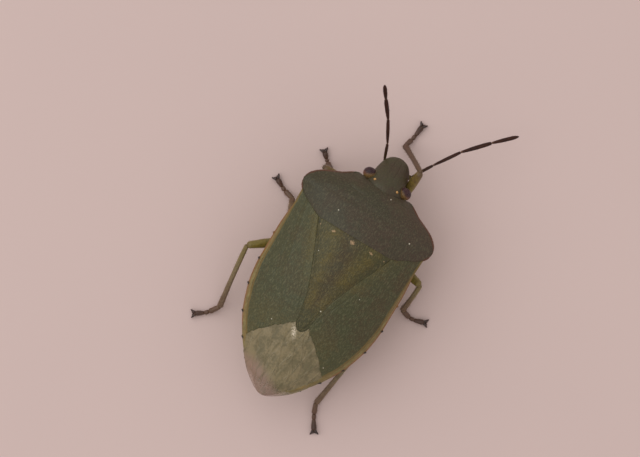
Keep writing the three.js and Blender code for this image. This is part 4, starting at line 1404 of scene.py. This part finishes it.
def leg(stations):
    hip, turn, knee = (np.array(place, float) for place in stations[:3])
    ankle, joint, end = foot_line(stations)
    thigh = (knee - turn) / np.linalg.norm(knee - turn)

    def part(line, radii, steps, along, hairy=(0, 0), **more):
        return limb(line, radii, steps=steps, along=along, hairy=hairy, **more)

    coxa = [hip + (hip - turn) * 0.5, mix(hip, turn, 0.7)]
    trochanter = [mix(hip, turn, 0.55), turn + thigh * 0.12]
    femur = bowed(turn, knee, (0, 0, FEMUR_BOW))
    knee_joint = [knee - thigh * 0.02, mix(knee, ankle, 0.07)]
    tibia = bowed(knee, ankle, thigh * TIBIA_BOW)
    ankle_joint = [ankle + (0, 0, 0.1), mix(ankle, joint, 0.15)]
    heel = [mix(ankle, joint, 0.02), mix(ankle, joint, 0.85)]
    instep = [mix(ankle, joint, 0.8), mix(joint, end, 0.25)]
    toe = [mix(joint, end, 0.18), end]
    whole = joined([
        part(coxa, COXA, steps=18, along=(0.0, 0.03)),
        part(trochanter, TROCHANTER, steps=16, along=(0.04, 0.06)),
        part(femur, FEMUR, sides=24, steps=40, caps=(0.8, 0.8), along=(0.08, 0.44), hairy=(0.05, 0.2)),
        part(knee_joint, KNEE, steps=12, along=(0.46, 0.48)),
        part(tibia, TIBIA, sides=32, steps=48, caps=(0.7, 0.6), fluted=FLUTE_DEPTH,
             along=(0.5, 0.8), hairy=(0.4, 1.0)),
        part(ankle_joint, ANKLE, steps=14, along=(0.79, 0.83)),
        part(heel, HEEL, steps=20, along=(0.83, 0.87), hairy=(1, 1)),
        part(instep, INSTEP, steps=16, along=(0.88, 0.91), hairy=(1, 1)),
        part(toe, TOE, steps=20, along=(0.92, 1.0), hairy=(1, 1)),
    ])
    whole.marks["hairy"] *= past(whole.points[:, 2], 0.17, 0.06)
    return whole


def claws(stations):
    """Two curved claws and the soft pads between them."""
    _, joint, end = foot_line(stations)
    ahead = (end - joint) * (1, 1, 0)
    ahead /= np.linalg.norm(ahead)
    across = np.array([-ahead[1], ahead[0], 0])
    parts = []
    for hand in (-1, 1):
        out = ahead * 0.75 + across * 0.66 * hand
        root = end + across * hand * 0.05
        line = [
            root - ahead * 0.08, root + out * 0.09 + (0, 0, 0.04), root + out * 0.2 + (0, 0, 0.01),
            root + out * 0.27 + ahead * 0.02 - (0, 0, 0.105),
        ]
        parts.append(limb(line, CLAW, sides=12, steps=22))
        pad_end = root + ahead * 0.17 + across * hand * 0.06 - (0, 0, 0.075)
        parts.append(limb([root - (0, 0, 0.03), pad_end], PAD, sides=14, steps=14, flat=0.6))
    return joined(parts)


# The bug, piece by piece

pitted_piece("pronotum_shield", pronotum(), PRONOTUM_FINISH, "pronotum", "pronotum")
pitted_piece("scutellum_shield", scutellum(), SCUTELLUM_FINISH, "scutellum", "scutellum")
pitted_piece("head_capsule", head(), HEAD_FINISH, "head", "head", spacing=0.075, pit_width=0.034, depth=0.01)
piece("trunk_skin", trunk(), BELLY_FINISH, "belly", "thorax", "abdomen")
piece("rostrum_beak", rostrum(), BELLY_FINISH, "belly", "rostrum")

lenses = [
    ellipsoid((side * OCELLUS[0], OCELLUS[1], head_top(*OCELLUS)), OCELLUS_SIZE) for side in (-1, 1)
]
piece("ocelli", joined(lenses), OCELLUS_FINISH, "eye")

for number, (hand, side) in enumerate((("left", -1), ("right", 1))):
    pitted_piece(f"corium_{hand}_wing", corium(side), CORIUM_FINISH, "corium", f"corium_{hand}",
                 spacing=0.085, pit_width=0.038, depth=0.012)
    piece(f"membrane_{hand}_wing", membrane(side), MEMBRANE_FINISH, "membrane", f"membrane_{hand}")
    piece(f"eye_{hand}_facets", eye(side), EYE_FINISH, "eye", f"eye_{hand}")
    shape = feeler(FEELER_JOINTS[hand])
    piece(f"antenna_{hand}_segments", shape, FEELER_FINISH, "antenna", f"antenna_{hand}")
    hairy_piece(f"antenna_{hand}_hairs", shape, HAIR_FINISH, "antenna", density=1.6e8,
                length=0.07, thickness=0.004, lean=1.2, seed=30 + number)

for number, (name, stations) in enumerate(LEGS.items()):
    shape = leg(stations)
    finish = FORE_FINISH if name.startswith("front") else LEG_FINISH
    piece(f"leg_{name}_segments", shape, finish, "leg", f"leg_{name}")
    piece(f"leg_{name}_claws", claws(stations), CLAW_FINISH, "leg")
    hairy_piece(f"leg_{name}_bristles", shape, BRISTLE_FINISH, "leg", density=1.1e8,
                length=0.12, thickness=0.005, lean=1.1, seed=number + 1)


# Floor, light and camera. Lengths are in metres here, and in millimetres where they give the
# camera's height, the spot that it looks down on, and its sensor.

FLOOR_REACH = 2.0
FLOOR_SCALE = 60.0
FLOOR_PALE, FLOOR_DARK = (216, 191, 185), (212, 188, 183)
PHOTO_RIGHT = Vector((0.857, 0.515, 0))
PHOTO_UP = Vector((-0.515, 0.857, 0))
CAMERA_HEIGHT = 150.0
CAMERA_OVER = (-1.891, -2.099)
PHOTO_WIDTH, FOCAL_PIXELS = 640, 2670
FOCAL = FOCAL_PIXELS / PHOTO_WIDTH  # the lens's length in picture widths
SENSOR = 36.0
ROOM_COLOUR, ROOM_STRENGTH = (1.0, 0.975, 0.96, 1), 0.64
LAMP_COLOUR, LAMP_SIZE, LAMP_WATTS, LAMP_AWAY = (0.96, 1.0, 1.0), 0.5, 0.46, 0.3
LAMP_FROM = PHOTO_RIGHT * -0.5 + PHOTO_UP * 0.3 + Vector((0, 0, 0.85))


def stage_floor():
    """A plain pale floor."""
    mesh = bpy.data.meshes.new("floor")
    corners = [(x * FLOOR_REACH, y * FLOOR_REACH, 0) for x, y in ((-1, -1), (1, -1), (1, 1), (-1, 1))]
    mesh.from_pydata(corners, [], [(0, 1, 2, 3)])
    made = bpy.data.materials.new("floor plaster")
    made.use_nodes = True
    tree = made.node_tree
    patches = noise(tree, object_place(tree), FLOOR_SCALE, detail=2.0)
    colour = blended(tree, patches, tone(*FLOOR_PALE), tone(*FLOOR_DARK))
    shader = tree.nodes["Principled BSDF"]
    tree.links.new(colour, shader.inputs["Base Color"])
    shader.inputs["Roughness"].default_value = 0.9
    shader.inputs["Specular IOR Level"].default_value = 0.1
    mesh.materials.append(made)
    floor = bpy.data.objects.new("floor", mesh)
    bpy.context.scene.collection.objects.link(floor)


def camera():
    """Looks straight down from the height that gives the photo's scale, turned as the bug lies."""
    data = bpy.data.cameras.new("camera")
    data.sensor_width = SENSOR
    data.lens = FOCAL * SENSOR
    data.clip_start = 0.01
    data.clip_end = 10.0
    made = bpy.data.objects.new("camera", data)
    bpy.context.scene.collection.objects.link(made)
    place = (np.array([*CAMERA_OVER, CAMERA_HEIGHT]) + HOME) * MM
    turned = Matrix((PHOTO_RIGHT, PHOTO_UP, Vector((0, 0, 1)))).transposed().to_4x4()
    made.matrix_world = Matrix.Translation(Vector(place)) @ turned
    bpy.context.scene.camera = made


def lights():
    """Soft daylight from the upper left of the picture, and a pale room all round."""
    world = bpy.data.worlds.new("room")
    bpy.context.scene.world = world
    world.use_nodes = True
    background = world.node_tree.nodes["Background"]
    background.inputs["Color"].default_value = ROOM_COLOUR
    background.inputs["Strength"].default_value = ROOM_STRENGTH
    data = bpy.data.lights.new("window", "AREA")
    data.shape = "DISK"
    data.size = LAMP_SIZE
    data.energy = LAMP_WATTS
    data.color = LAMP_COLOUR
    lamp = bpy.data.objects.new("window", data)
    bpy.context.scene.collection.objects.link(lamp)
    target = Vector(HOME * MM)
    lamp.location = target + LAMP_FROM.normalized() * LAMP_AWAY
    lamp.rotation_mode = "QUATERNION"
    lamp.rotation_quaternion = (target - lamp.location).to_track_quat("-Z", "Y")


stage_floor()
camera()
lights()
bpy.context.scene.view_settings.view_transform = "Standard"
